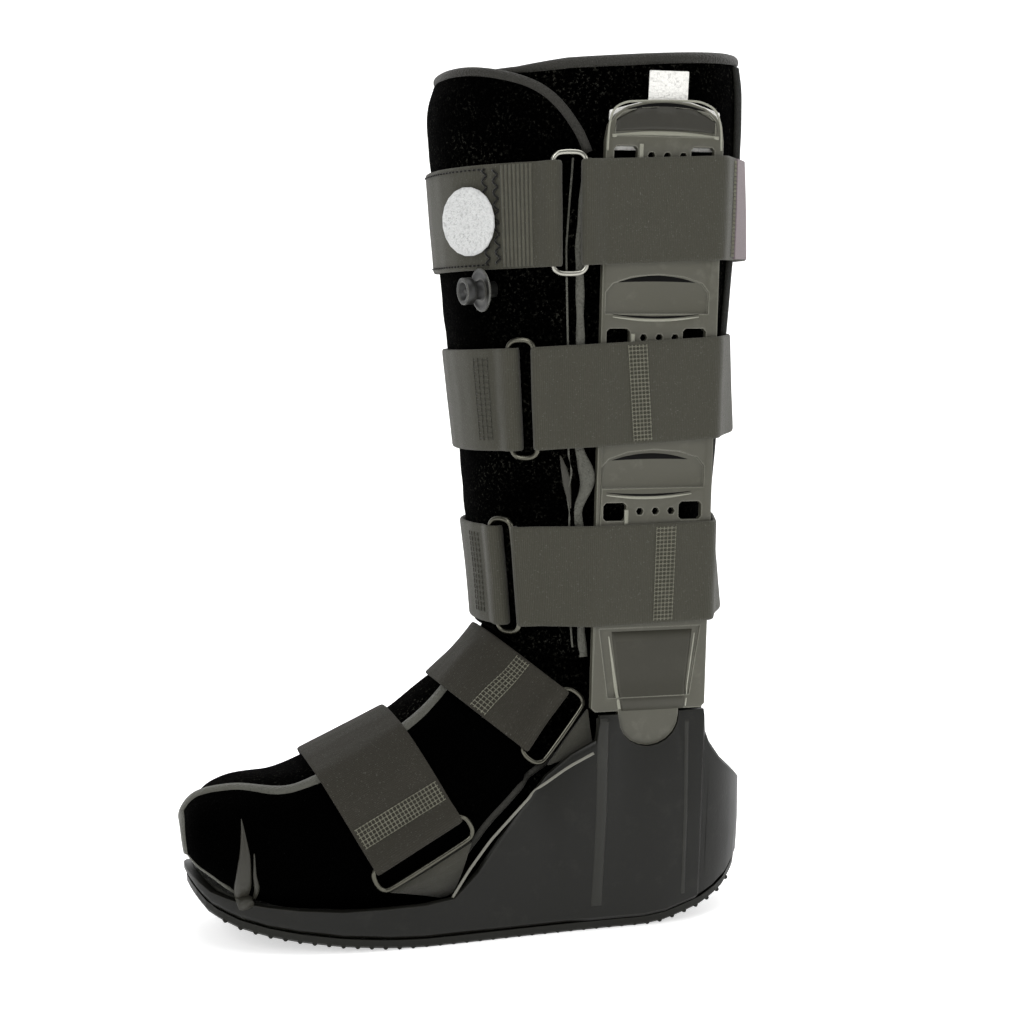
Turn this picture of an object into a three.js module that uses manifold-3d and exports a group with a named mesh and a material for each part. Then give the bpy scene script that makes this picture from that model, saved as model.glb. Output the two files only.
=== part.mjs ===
// Medical walking boot with padded liner, two plastic struts, rocker sole and five straps.
// Millimetres. The toe points to -X, the side seen in the photo is -Y, up is +Z.
import * as THREE from 'three';
import { mergeVertices } from 'three/addons/utils/BufferGeometryUtils.js';
import ManifoldModule from 'manifold-3d';

// Driving sizes
const bootLength = 291;
const bootHeight = 437;
const soleWidth = 107;
const linerWall = 5;
const panelWall = 3.6;
const shellWall = 4.4;
const shellFloor = 3.4;
const outsoleThickness = 4.5;
const treadPitch = 7.6;
const treadDepth = 1.3;
const insoleThickness = 4.6;
const strutWidth = 59.5;
const strutThickness = 4;
const strutPocketDepth = 1.4;
const tongueWidth = 31.5;
const calfStrapWidth = 50;
const ankleStrapWidth = 36;
const forefootStrapWidth = 49;
const strapThickness = 2.4;
const ringWire = 1.7;
const ringShort = 17;
const topRingShort = 20;
const ringOverhang = 5.5;
const buttonRadius = 16.6;
const buttonThickness = 3;
const buttonEdge = 0.9;
const valveFlange = 10.2;
const valveNeck = 3.6;
const valveHead = 5.4;
const valveReach = 11.8;
const valveBelowTab = 16.4;
const padThickness = 1.3;
const pocketHeight = 19;
const ringCorner = 5;
const ankleRingHeight = 16.9;
const ankleAnchorLength = 11;
const forefootAnchorLength = 18;

// Clearances
const gap = 0.35;
const soleGap = 0.6;
const layerGap = 0.5;
const rimRound = 1.2;
const panelGap = 0.9;

// Scale helpers: x shares are of the length, z shares of the height, y shares of the sole width
const xs = (share) => share * bootLength;
const zs = (share) => share * bootHeight;
const ys = (share) => share * soleWidth;

// Sole outline seen from above: x, half width
const planRows = [
  [-0.7766, 0.0000],
  [-0.7698, 0.1308],
  [-0.7526, 0.2336],
  [-0.7216, 0.3178],
  [-0.6804, 0.3832],
  [-0.6186, 0.4439],
  [-0.5395, 0.4860],
  [-0.4570, 0.5000],
  [-0.3436, 0.4860],
  [-0.2062, 0.4533],
  [-0.0687, 0.4299],
  [0.0344, 0.4206],
  [0.1031, 0.3925],
  [0.1546, 0.3318],
  [0.1924, 0.2336],
  [0.2148, 0.1215],
  [0.2234, 0.0000],
];

// Walking surface from the side: x, z
const bottomRows = [
  [-0.7766, 0.0640],
  [-0.7663, 0.0560],
  [-0.7423, 0.0400],
  [-0.6976, 0.0275],
  [-0.6529, 0.0197],
  [-0.6048, 0.0137],
  [-0.5326, 0.0069],
  [-0.4570, 0.0023],
  [-0.3952, 0.0000],
  [0.0000, 0.0000],
  [0.0412, 0.0034],
  [0.1100, 0.0160],
  [0.1581, 0.0297],
  [0.2027, 0.0526],
  [0.2234, 0.0709],
];

// Top edge of the shell from the side: x, z
const rimRows = [
  [-0.7766, 0.0830],
  [-0.7663, 0.0780],
  [-0.7405, 0.0665],
  [-0.6907, 0.0575],
  [-0.5567, 0.0480],
  [-0.3869, 0.0500],
  [-0.3436, 0.0545],
  [-0.3024, 0.0824],
  [-0.2629, 0.1190],
  [-0.2234, 0.1533],
  [-0.1821, 0.1870],
  [-0.1375, 0.2094],
  [-0.0955, 0.2243],
  [-0.0900, 0.2531],
  [0.1003, 0.2531],
  [0.1065, 0.2288],
  [0.1168, 0.2128],
  [0.1409, 0.1922],
  [0.1787, 0.1716],
  [0.2062, 0.1579],
  [0.2234, 0.1510],
];

// Liner sections from the toe round the heel to the top:
// lower or rear point x, z, upper or front point x, z, half width, squareness above, below
const sockRows = [
  [-0.7560, 0.0950, -0.7629, 0.1281, 0.1495, 2.0, 2.2],
  [-0.7423, 0.0800, -0.7457, 0.1625, 0.2897, 2.2, 2.8],
  [-0.6976, 0.0630, -0.6976, 0.1762, 0.3645, 2.4, 3.6],
  [-0.6117, 0.0485, -0.6048, 0.1854, 0.4065, 2.5, 4],
  [-0.5086, 0.0398, -0.4845, 0.2243, 0.4112, 2.4, 4],
  [-0.3849, 0.0334, -0.3711, 0.2609, 0.4019, 2.3, 4],
  [-0.2577, 0.0328, -0.2955, 0.3066, 0.3879, 2.3, 3.8],
  [-0.1203, 0.0328, -0.2509, 0.3387, 0.3832, 2.3, 3.4],
  [0.0275, 0.0378, -0.2405, 0.3616, 0.3785, 2.3, 3],
  [0.1180, 0.0660, -0.2423, 0.3844, 0.3785, 2.3, 2.6],
  [0.1480, 0.1144, -0.2474, 0.4096, 0.3879, 2.3, 2.4],
  [0.1495, 0.1831, -0.2526, 0.4371, 0.4019, 2.4, 2.4],
  [0.1443, 0.2632, -0.2577, 0.4668, 0.4159, 2.4, 2.4],
  [0.1478, 0.3547, -0.2629, 0.5080, 0.4393, 2.4, 2.4],
  [0.1546, 0.4691, -0.2698, 0.5606, 0.4626, 2.4, 2.4],
  [0.1684, 0.5835, -0.2818, 0.6293, 0.4907, 2.4, 2.4],
  [0.1856, 0.7094, -0.2973, 0.7208, 0.5090, 2.4, 2.4],
  [0.2010, 0.8467, -0.3127, 0.8352, 0.5270, 2.4, 2.4],
  [0.2062, 0.9497, -0.3235, 0.9268, 0.5340, 2.4, 2.4],
  [0.1993, 0.9931, -0.3110, 0.9660, 0.5350, 2.4, 2.4],
  [0.1959, 1.0229, -0.2975, 1.0060, 0.5320, 2.4, 2.4],
];
const linerTopRow = 19;
const heelSeamRow = 6;
const legSeamRow = 10;

// Strut from its own side: heights as shares of the boot height
const strutTop = 0.9382;
const strutArch = 0.043;
const strutShoulder = 0.2563;
const tongueTip = 0.2151;
const strutBaseY = 0.4299;
const strutFlare = 0.048;
const strutLean = 0.03;
const strutLeanFrom = 0.72;
const windowHeights = [0.4851, 0.6796, 0.8787];
const windowHeight = 9;
const windowInner = 13.5;
const windowOuter = 25.5;
const lacingHoleRadius = 2;
const lacingHolePitch = 8.1;
const lacingHoleShift = 1.5;
const pocketMargin = 3.4;

// Calf straps: height at the strut, rise per mm toward the heel, ring centre x, ring's short side
const calfStraps = [
  { name: 'top', z: 0.8192, rise: 0.045, ringX: -0.1512, ring: topRingShort },
  { name: 'middle', z: 0.6190, rise: 0.055, ringX: -0.2165, ring: ringShort },
  { name: 'lower', z: 0.4142, rise: 0.02, ringX: -0.2320, ring: ringShort },
];

// Small tools

function catmull(rows, t) {
  const last = rows.length - 1;
  const i = Math.min(Math.max(Math.floor(t), 0), last - 1);
  const f = t - i;
  const p1 = rows[i];
  const p2 = rows[i + 1];
  const p0 = rows[i - 1] || p1.map((v, k) => 2 * v - p2[k]);
  const p3 = rows[i + 2] || p2.map((v, k) => 2 * v - p1[k]);
  return p1.map((v, k) => {
    const a = 2 * p1[k];
    const b = p2[k] - p0[k];
    const c = 2 * p0[k] - 5 * p1[k] + 4 * p2[k] - p3[k];
    const d = -p0[k] + 3 * p1[k] - 3 * p2[k] + p3[k];
    return 0.5 * (a + b * f + c * f * f + d * f * f * f);
  });
}

function lookup(rows, x) {
  if (x <= rows[0][0]) return rows[0][1];
  for (let i = 1; i < rows.length; i += 1) {
    if (x <= rows[i][0]) {
      const f = (x - rows[i - 1][0]) / (rows[i][0] - rows[i - 1][0]);
      return rows[i - 1][1] + f * (rows[i][1] - rows[i - 1][1]);
    }
  }
  return rows[rows.length - 1][1];
}

// A closed body from points and triangles, turned so that its faces look outward
function solid(points, faces) {
  let volume = 0;
  for (const [a, b, c] of faces) {
    const pa = points[a];
    const pb = points[b];
    const pc = points[c];
    volume += pa[0] * (pb[1] * pc[2] - pb[2] * pc[1]);
    volume += pa[1] * (pb[2] * pc[0] - pb[0] * pc[2]);
    volume += pa[2] * (pb[0] * pc[1] - pb[1] * pc[0]);
  }
  const flat = [];
  for (const [a, b, c] of faces) {
    if (volume >= 0) flat.push(a, b, c);
    else flat.push(a, c, b);
  }
  const geometry = new THREE.BufferGeometry();
  geometry.setAttribute('position', new THREE.Float32BufferAttribute(points.flat(), 3));
  geometry.setIndex(flat);
  geometry.computeVertexNormals();
  return geometry;
}

// A sheet with thickness: grids of outer and inner points, open on all four edges
function sheet(outer, inner) {
  const rows = outer.length;
  const cols = outer[0].length;
  const points = [...outer.flat(), ...inner.flat()];
  const o = (r, c) => r * cols + c;
  const n = (r, c) => rows * cols + r * cols + c;
  const faces = [];
  const quad = (a, b, c, d) => faces.push([a, b, c], [a, c, d]);
  for (let r = 0; r < rows - 1; r += 1) {
    for (let c = 0; c < cols - 1; c += 1) {
      quad(o(r, c), o(r, c + 1), o(r + 1, c + 1), o(r + 1, c));
      quad(n(r, c), n(r + 1, c), n(r + 1, c + 1), n(r, c + 1));
    }
    quad(o(r, 0), o(r + 1, 0), n(r + 1, 0), n(r, 0));
    quad(o(r, cols - 1), n(r, cols - 1), n(r + 1, cols - 1), o(r + 1, cols - 1));
  }
  for (let c = 0; c < cols - 1; c += 1) {
    quad(o(0, c), n(0, c), n(0, c + 1), o(0, c + 1));
    quad(o(rows - 1, c), o(rows - 1, c + 1), n(rows - 1, c + 1), n(rows - 1, c));
  }
  return solid(points, faces);
}

// Rings of equal length joined in order; first and last are closed across the width
function stack(rings) {
  const count = rings[0].length;
  const points = rings.flat();
  const faces = [];
  for (let r = 0; r < rings.length - 1; r += 1) {
    for (let i = 0; i < count; i += 1) {
      const j = (i + 1) % count;
      const a = r * count;
      const b = (r + 1) * count;
      faces.push([a + i, a + j, b + j], [a + i, b + j, b + i]);
    }
  }
  // ring order runs toe, near side, heel, far side, so i and count - i face each other
  const cap = (base, flip) => {
    const half = count / 2;
    for (let i = 0; i < half; i += 1) {
      const a = base + i;
      const b = base + i + 1;
      const c = base + ((count - i - 1) % count);
      const d = base + ((count - i) % count);
      const tris = [];
      if (a !== d) tris.push([a, d, b]);
      if (c !== b) tris.push(a !== d ? [d, c, b] : [a, c, b]);
      for (const t of tris) faces.push(flip ? [t[0], t[2], t[1]] : t);
    }
  };
  cap(0, false);
  cap((rings.length - 1) * count, true);
  return solid(points, faces);
}

const wasm = await ManifoldModule();
wasm.setup();
const { Manifold, Mesh } = wasm;

function toManifold(geometry) {
  const bare = new THREE.BufferGeometry();
  bare.setAttribute('position', geometry.getAttribute('position').clone());
  if (geometry.index) bare.setIndex(geometry.index.clone());
  const merged = mergeVertices(bare, 1e-4);
  return new Manifold(new Mesh({
    numProp: 3,
    vertProperties: new Float32Array(merged.getAttribute('position').array),
    triVerts: new Uint32Array(merged.index.array),
  }));
}

function fromManifold(body) {
  const mesh = body.getMesh();
  const geometry = new THREE.BufferGeometry();
  const stride = mesh.numProp;
  const positions = [];
  for (let i = 0; i < mesh.vertProperties.length / stride; i += 1) {
    const at = i * stride;
    positions.push(mesh.vertProperties[at], mesh.vertProperties[at + 1], mesh.vertProperties[at + 2]);
  }
  geometry.setAttribute('position', new THREE.Float32BufferAttribute(positions, 3));
  geometry.setIndex(Array.from(mesh.triVerts));
  geometry.computeVertexNormals();
  return geometry;
}

const paint = (rgb, roughness, metalness = 0) => new THREE.MeshStandardMaterial({
  color: new THREE.Color().setRGB(rgb[0] / 255, rgb[1] / 255, rgb[2] / 255, THREE.SRGBColorSpace),
  roughness,
  metalness,
});

const materials = {
  shell: paint([46, 46, 41], 0.45),
  rubber: paint([40, 40, 36], 0.8),
  strut: paint([80, 79, 69], 0.4),
  pile: paint([14, 14, 13], 0.95),
  binding: paint([30, 30, 28], 0.8),
  webbing: paint([72, 71, 63], 0.85),
  steel: paint([173, 172, 163], 0.25, 1),
  button: paint([213, 214, 213], 0.5),
  valve: paint([120, 120, 112], 0.4),
  hook: paint([240, 239, 235], 0.9),
  insole: paint([60, 60, 55], 0.9),
};

const group = new THREE.Group();
function add(name, geometry, material) {
  const mesh = new THREE.Mesh(geometry, material);
  mesh.name = name;
  group.add(mesh);
  return mesh;
}

// Sole and shell

const bottomAt = (x) => zs(lookup(bottomRows, x / bootLength));
const rimAt = (x) => zs(lookup(rimRows, x / bootLength));

// Fine polyline of the plan outline with outward normals, toe to heel on the near side
const planLine = (() => {
  const mirrored = [[planRows[1][0], -planRows[1][1]], ...planRows,
    [planRows[planRows.length - 2][0], -planRows[planRows.length - 2][1]]];
  const line = [];
  for (let i = 1; i < mirrored.length - 2; i += 1) {
    for (let k = 0; k < 12; k += 1) {
      const p = catmull(mirrored, i + k / 12);
      line.push([xs(p[0]), ys(p[1])]);
    }
  }
  line.push([xs(planRows[planRows.length - 1][0]), 0]);
  line[0][1] = 0;
  return line;
})();

function planPoint(x) {
  for (let i = 1; i < planLine.length; i += 1) {
    if (x <= planLine[i][0] + 1e-9) {
      const a = planLine[i - 1];
      const b = planLine[i];
      const f = (x - a[0]) / (b[0] - a[0]);
      const dx = b[0] - a[0];
      const dy = b[1] - a[1];
      const size = Math.hypot(dx, dy);
      const end = i === 1 && f < 0.01;
      return { x, y: a[1] + f * dy, nx: end ? -1 : -dy / size, ny: end ? 0 : dx / size };
    }
  }
  return { x, y: 0, nx: 1, ny: 0 };
}

const toeX = planLine[0][0];
const heelX = planLine[planLine.length - 1][0];

// One closed ring round the plan: stations from toe to heel, mirrored on the far side
function planRing(stations, offsetAt, zAt, stepped = false) {
  const near = stations.map((x) => {
    const p = planPoint(x);
    const off = offsetAt(p);
    const y = Math.max(p.y + p.ny * off, 0);
    const edge = x === toeX || x === heelX;
    return [p.x + p.nx * off, edge ? 0 : y, stepped ? zAt(x) : zAt(p.x + p.nx * off)];
  });
  const ring = near.map((p) => [p[0], -p[1], p[2]]);
  for (let i = near.length - 2; i > 0; i -= 1) ring.push([near[i][0], near[i][1], near[i][2]]);
  return ring;
}

// Stations: close together where the outline turns, plus the steps of the strut socket
const socketFront = xs(-0.0955);
const socketRear = xs(0.1003);
const shellStations = [
  toeX, toeX + 0.6, xs(-0.7663), toeX + 5, xs(-0.7423), toeX + 16, xs(-0.6976), xs(-0.6529), xs(-0.6048),
  xs(-0.5326), xs(-0.457), xs(-0.3952), xs(-0.3436), xs(-0.3024), xs(-0.2629), xs(-0.2234),
  xs(-0.1821), xs(-0.1375), socketFront,
  xs(-0.0900), xs(-0.055), xs(0), xs(0.0412), socketRear, xs(0.1065), xs(0.1168), xs(0.1409), xs(0.1690),
  xs(0.1900), heelX - 6, heelX - 2.6, heelX - 0.7, heelX,
];

// The wall leans out with height beside the foot, less so round the heel and toe
const flareAt = (p, z) => (0.055 * Math.max(z - 18, 0)) * p.ny * p.ny;
const socketSwell = (x) => (x > socketFront - 0.01 && x < socketRear + 0.01 ? 1.5 : 0);
const outerOffset = (x, z) => (p) => flareAt(p, z) + socketSwell(x);

function shellRing(share, inset, lift) {
  const zAt = (x) => {
    const low = bottomAt(x) + outsoleThickness + soleGap;
    return low + share * (rimAt(x) - low) + lift;
  };
  return planRing(shellStations, (p) => outerOffset(p.x, zAt(p.x))(p) - inset, zAt, true);
}

function floorRing(inset, lift) {
  const zAt = (x) => bottomAt(x) + outsoleThickness + soleGap + lift;
  return planRing(shellStations, (p) => outerOffset(p.x, zAt(p.x))(p) - inset, zAt);
}

const shellBody = stack([
  floorRing(2.2, 0),
  floorRing(0.4, 1.8),
  shellRing(0.35, 0, 0),
  shellRing(0.7, 0, 0),
  shellRing(0.97, 0, 0),
  shellRing(1, 0.9, 0),
  shellRing(1, shellWall - 0.9, 0),
  shellRing(0.95, shellWall, 0),
  shellRing(0.55, shellWall, 0),
  floorRing(shellWall + 0.3, shellFloor + 1.2),
  floorRing(shellWall + 2, shellFloor),
]);

// Strut outline in its own plane, grown by a margin for the shell's notch
function strutShape(margin, withHoles) {
  const half = strutWidth / 2 + margin;
  const tongue = tongueWidth / 2 + margin;
  const shoulder = zs(strutShoulder) - margin;
  const tip = zs(tongueTip) - margin;
  const archBase = zs(strutTop - strutArch);
  const shape = new THREE.Shape();
  shape.moveTo(-tongue, shoulder);
  shape.lineTo(-tongue, tip + tongue * 0.95);
  for (let k = 1; k <= 9; k += 1) {
    const a = Math.PI + (k / 10) * Math.PI;
    shape.lineTo(tongue * Math.cos(a), tip + tongue * 0.95 * (1 + Math.sin(a)));
  }
  shape.lineTo(tongue, tip + tongue * 0.95);
  shape.lineTo(tongue, shoulder);
  shape.lineTo(half - 2, shoulder);
  shape.lineTo(half, shoulder + 2);
  shape.lineTo(half, archBase);
  for (let k = 1; k <= 9; k += 1) {
    const a = (k / 10) * Math.PI;
    const reach = Math.sign(Math.cos(a)) * Math.abs(Math.cos(a)) ** 0.8;
    shape.lineTo(half * reach, archBase + (zs(strutTop) - archBase + margin) * Math.sin(a) ** 0.8);
  }
  shape.lineTo(-half, archBase);
  shape.lineTo(-half, shoulder + 2);
  shape.lineTo(-half + 2, shoulder);
  shape.closePath();
  if (withHoles) {
    for (const share of windowHeights) {
      const z = zs(share);
      for (const side of [-1, 1]) {
        const hole = new THREE.Path();
        const x0 = side < 0 ? -windowOuter : windowInner;
        const x1 = side < 0 ? -windowInner : windowOuter;
        const low = z - windowHeight / 2;
        const high = z + windowHeight / 2;
        hole.moveTo(x0 + 1.5, low);
        hole.lineTo(x1 - 1.5, low);
        hole.lineTo(x1, low + 1.5);
        hole.lineTo(x1, high - 1.5);
        hole.lineTo(x1 - 1.5, high);
        hole.lineTo(x0 + 1.5, high);
        hole.lineTo(x0, high - 1.5);
        hole.lineTo(x0, low + 1.5);
        hole.closePath();
        shape.holes.push(hole);
      }
      for (let k = -1; k <= 1; k += 1) {
        const hole = new THREE.Path();
        hole.absarc(lacingHoleShift + k * lacingHolePitch, z, lacingHoleRadius, 0, Math.PI * 2, false);
        shape.holes.push(hole);
      }
    }
  }
  return shape;
}

// Places a flat extrusion upright on the near side: shape x to X, shape y to Z, depth outward
function standUp(geometry, inward) {
  const pos = geometry.getAttribute('position');
  for (let i = 0; i < pos.count; i += 1) {
    const z = pos.getY(i);
    const faceY = strutInnerY(z) + pos.getZ(i) - inward;
    const lean = strutLean * Math.max(z - zs(strutLeanFrom), 0);
    pos.setXYZ(i, pos.getX(i) + lean, -faceY, z);
  }
  return fixWinding(geometry);
}

function strutInnerY(z) {
  return ys(strutBaseY) + strutFlare * (z - zs(strutShoulder));
}

function fixWinding(geometry) {
  const merged = mergeVertices(stripped(geometry), 1e-4);
  const pos = merged.getAttribute('position');
  const points = [];
  for (let i = 0; i < pos.count; i += 1) points.push([pos.getX(i), pos.getY(i), pos.getZ(i)]);
  const faces = [];
  const index = merged.index.array;
  for (let i = 0; i < index.length; i += 3) faces.push([index[i], index[i + 1], index[i + 2]]);
  return solid(points, faces);
}

function stripped(geometry) {
  const bare = new THREE.BufferGeometry();
  bare.setAttribute('position', geometry.getAttribute('position').clone());
  if (geometry.index) bare.setIndex(geometry.index.clone());
  return bare;
}

function mirrored(geometry) {
  const copy = stripped(geometry);
  const pos = copy.getAttribute('position');
  for (let i = 0; i < pos.count; i += 1) pos.setY(i, -pos.getY(i));
  return fixWinding(copy);
}

const extrude = (shape, depth) => new THREE.ExtrudeGeometry(shape, {
  depth, bevelEnabled: false, curveSegments: 3,
});

const notchCutter = standUp(extrude(strutShape(gap, false), 30), 12);
let shellCut = toManifold(shellBody).subtract(toManifold(notchCutter));
shellCut = shellCut.subtract(toManifold(mirrored(notchCutter)));
add('base_shell', fromManifold(shellCut), materials.shell);

// Tread: flat lands with a shallow groove after each
const treadStations = [toeX, toeX + 0.8, toeX + 3];
const grooveStations = new Set();
{
  const from = toeX + 7;
  const to = heelX - 7;
  const count = Math.round((to - from) / treadPitch);
  const pitch = (to - from) / count;
  for (let i = 0; i < count; i += 1) {
    const x = from + i * pitch;
    treadStations.push(x, x + pitch * 0.66, x + pitch * 0.83);
    grooveStations.add(treadStations.length - 1);
  }
  treadStations.push(to, heelX - 3, heelX - 0.8, heelX);
}

function treadRing(inset, zAt) {
  return planRing(treadStations, () => -inset, zAt);
}

const treadGroove = (x) => (grooveStations.has(treadStations.indexOf(x)) ? treadDepth : 0);
add('outsole', stack([
  treadRing(3, (x) => bottomAt(x) + treadGroove(x)),
  treadRing(1.4, (x) => bottomAt(x) + 1.2 + treadGroove(x) * 0.8),
  treadRing(1.2, (x) => bottomAt(x) + outsoleThickness),
]), materials.rubber);

// Insole pad in the tray
const insoleLift = outsoleThickness + soleGap + shellFloor + 0.4;
const insoleStations = shellStations.filter((x) => x >= toeX && x <= heelX);
const insoleRing = (inset, lift) => planRing(
  insoleStations,
  () => -inset,
  (x) => bottomAt(x) + insoleLift + lift,
);
add('insole', stack([
  insoleRing(shellWall + 2.6, 0),
  insoleRing(shellWall + 1.6, insoleThickness * 0.6),
  insoleRing(shellWall + 2.2, insoleThickness),
]), materials.insole);

// Struts

const strutFace = strutThickness;
function pocket(points) {
  const shape = new THREE.Shape(points.map((p) => new THREE.Vector2(p[0], p[1])));
  const body = extrude(shape, strutPocketDepth + 3);
  body.translate(0, 0, strutFace - strutPocketDepth);
  return toManifold(standUp(body, 0));
}

function archPocket(half, low, high) {
  const rise = (high - low) * 0.45;
  const points = [[-half, low], [half, low], [half, high - rise]];
  for (let k = 1; k < 6; k += 1) {
    const a = (k / 6) * Math.PI;
    points.push([half * Math.cos(a), high - rise + rise * Math.sin(a)]);
  }
  points.push([-half, high - rise]);
  return pocket(points);
}

let strutBody = toManifold(standUp(extrude(strutShape(0, true), strutThickness), 0));
const pocketHalf = strutWidth / 2 - pocketMargin;
for (const share of windowHeights.slice(0, 2)) {
  const low = zs(share) + windowHeight / 2 + pocketHeight * 0.37;
  strutBody = strutBody.subtract(archPocket(pocketHalf, low, low + pocketHeight));
}
strutBody = strutBody.subtract(archPocket(pocketHalf - 1.2, zs(0.9), zs(0.932)));
strutBody = strutBody.subtract(pocket([
  [-pocketHalf + 5, zs(0.272)], [pocketHalf - 5, zs(0.272)],
  [pocketHalf, zs(0.352)], [-pocketHalf, zs(0.352)],
]));
const strutGeometry = fromManifold(strutBody);
add('upright_near', strutGeometry, materials.strut);
add('upright_far', mirrored(strutGeometry), materials.strut);

// White hook pad between the top of the near strut and the liner
const padShape = new THREE.Shape();
padShape.moveTo(-strutWidth / 2 + 2.5, zs(0.885));
padShape.lineTo(strutWidth / 2 - 1, zs(0.885));
padShape.lineTo(strutWidth / 2 - 1, zs(0.928));
padShape.lineTo(12, zs(0.94));
padShape.lineTo(12, zs(0.972));
padShape.lineTo(-8, zs(0.972));
padShape.lineTo(-8, zs(0.94));
padShape.lineTo(-strutWidth / 2 + 2.5, zs(0.928));
padShape.closePath();
add('hook_pad', standUp(extrude(padShape, padThickness), padThickness + gap), materials.hook);

// Liner and its overlapping panels

function sockFrame(v) {
  const r = catmull(sockRows, v);
  const low = [xs(r[0]), zs(r[1])];
  const top = [xs(r[2]), zs(r[3])];
  const span = Math.hypot(top[0] - low[0], top[1] - low[1]);
  return {
    cx: (low[0] + top[0]) / 2,
    cz: (low[1] + top[1]) / 2,
    ex: (top[0] - low[0]) / span,
    ez: (top[1] - low[1]) / span,
    b: span / 2,
    w: ys(r[4]),
    n: r[5],
    low: r[6],
  };
}

const power = (value, n) => Math.sign(value) * Math.abs(value) ** (2 / n);

// Angle 0 is the front or instep, 90 degrees the near side, 180 the heel or sole
function sockPoint(v, a, inset = 0) {
  const f = sockFrame(v);
  const n = Math.cos(a) >= 0 ? f.n : f.low;
  const up = (f.b - inset) * power(Math.cos(a), n);
  const side = (f.w - inset) * power(Math.sin(a), n);
  return [f.cx + f.ex * up, -side, f.cz + f.ez * up];
}

function sockNormal(v, a) {
  const p = new THREE.Vector3(...sockPoint(v, a + 0.01)).sub(new THREE.Vector3(...sockPoint(v, a - 0.01)));
  const q = new THREE.Vector3(...sockPoint(v + 0.02, a)).sub(new THREE.Vector3(...sockPoint(v - 0.02, a)));
  const normal = p.cross(q).normalize();
  const f = sockFrame(v);
  const here = sockPoint(v, a);
  const out = new THREE.Vector3(here[0] - f.cx, here[1], here[2] - f.cz);
  if (normal.dot(out) < 0) normal.negate();
  return normal;
}

function lifted(v, a, distance) {
  const p = sockPoint(v, a);
  const n = sockNormal(v, a);
  return [p[0] + n.x * distance, p[1] + n.y * distance, p[2] + n.z * distance];
}

const sockSides = 32;
const sockAngles = Array.from({ length: sockSides }, (_, k) => (k / sockSides) * Math.PI * 2);

// The liner is sewn from a closed toe section, a heel section and a leg section
function linerSection(outerRows, innerRows, closedToe) {
  const points = [];
  const faces = [];
  const seamIsFirst = !closedToe;
  const ringOf = (v, inset, raise) => {
    const start = points.length;
    const f = sockFrame(v);
    for (const a of sockAngles) {
      const p = sockPoint(v, a, inset);
      points.push([p[0] - f.ez * raise, p[1], p[2] + f.ex * raise]);
    }
    return start;
  };
  const rings = (rows, inset, rimInset) => rows.map((v, i) => {
    const rim = v === linerTopRow;
    const seam = i === 0 && seamIsFirst;
    return ringOf(v, rim ? rimInset : inset, seam ? -gap : 0);
  });
  const outer = rings(outerRows, 0, rimRound);
  const inner = rings(innerRows, linerWall, linerWall - rimRound);
  const join = (a, b) => {
    for (let i = 0; i < sockSides; i += 1) {
      const j = (i + 1) % sockSides;
      faces.push([a + i, a + j, b + j], [a + i, b + j, b + i]);
    }
  };
  for (let i = 0; i < outer.length - 1; i += 1) join(outer[i], outer[i + 1]);
  join(outer[outer.length - 1], inner[inner.length - 1]);
  for (let i = inner.length - 1; i > 0; i -= 1) join(inner[i], inner[i - 1]);
  if (!closedToe) {
    join(inner[0], outer[0]);
    return solid(points, faces);
  }
  const fan = (start, v, flip) => {
    const f = sockFrame(v);
    points.push([f.cx, 0, f.cz]);
    const c = points.length - 1;
    for (let i = 0; i < sockSides; i += 1) {
      const j = (i + 1) % sockSides;
      faces.push(flip ? [c, start + i, start + j] : [c, start + j, start + i]);
    }
  };
  fan(outer[0], outerRows[0], false);
  fan(inner[0], innerRows[0], true);
  return solid(points, faces);
}

const legRows = [legSeamRow, 11, 12, 13, 14, 15, 16, 17, 18, linerTopRow];
const heelRows = [heelSeamRow, 7, 8, 9, legSeamRow];
const toeRows = [2, 3, 4, 5, heelSeamRow];
add('liner_toe', linerSection([0, 0.5, 1, ...toeRows], [0.75, 1.3, ...toeRows], true), materials.pile);
add('liner_heel', linerSection(heelRows, heelRows, false), materials.pile);
add('liner_leg', linerSection(legRows, legRows, false), materials.pile);
const linerNames = ['liner_toe', 'liner_heel', 'liner_leg'];

// A panel on the liner: angles from one edge to the other, rows from low(a) to high(a)
function panelSheet(angles, count, lowAt, highAt, wall, base = panelGap) {
  const outer = [];
  const inner = [];
  for (let r = 0; r <= count; r += 1) {
    const outerRow = [];
    const innerRow = [];
    angles.forEach((a, i) => {
      const v = lowAt(a) + (r / count) * (highAt(a) - lowAt(a));
      const edge = i === 0 || i === angles.length - 1 || r === 0 || r === count;
      outerRow.push(lifted(v, a, base + (edge ? wall * 0.72 : wall)));
      innerRow.push(lifted(v, a, base));
    });
    outer.push(outerRow);
    inner.push(innerRow);
  }
  return sheet(outer, inner);
}

const spread = (from, to, count) => Array.from(
  { length: count + 1 },
  (_, k) => from + ((to - from) * k) / count,
);

const frontEdge = 76 * (Math.PI / 180);
add('front_panel', panelSheet(
  [-frontEdge, ...sockAngles.slice(-6).map((a) => a - 2 * Math.PI), ...sockAngles.slice(0, 7), frontEdge],
  12,
  (a) => 7.25 + 3.1 * (Math.abs(a) / frontEdge) ** 2,
  (a) => 19.15 - 1.75 * (Math.abs(a) / frontEdge) ** 3,
  panelWall,
), materials.pile);

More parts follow.
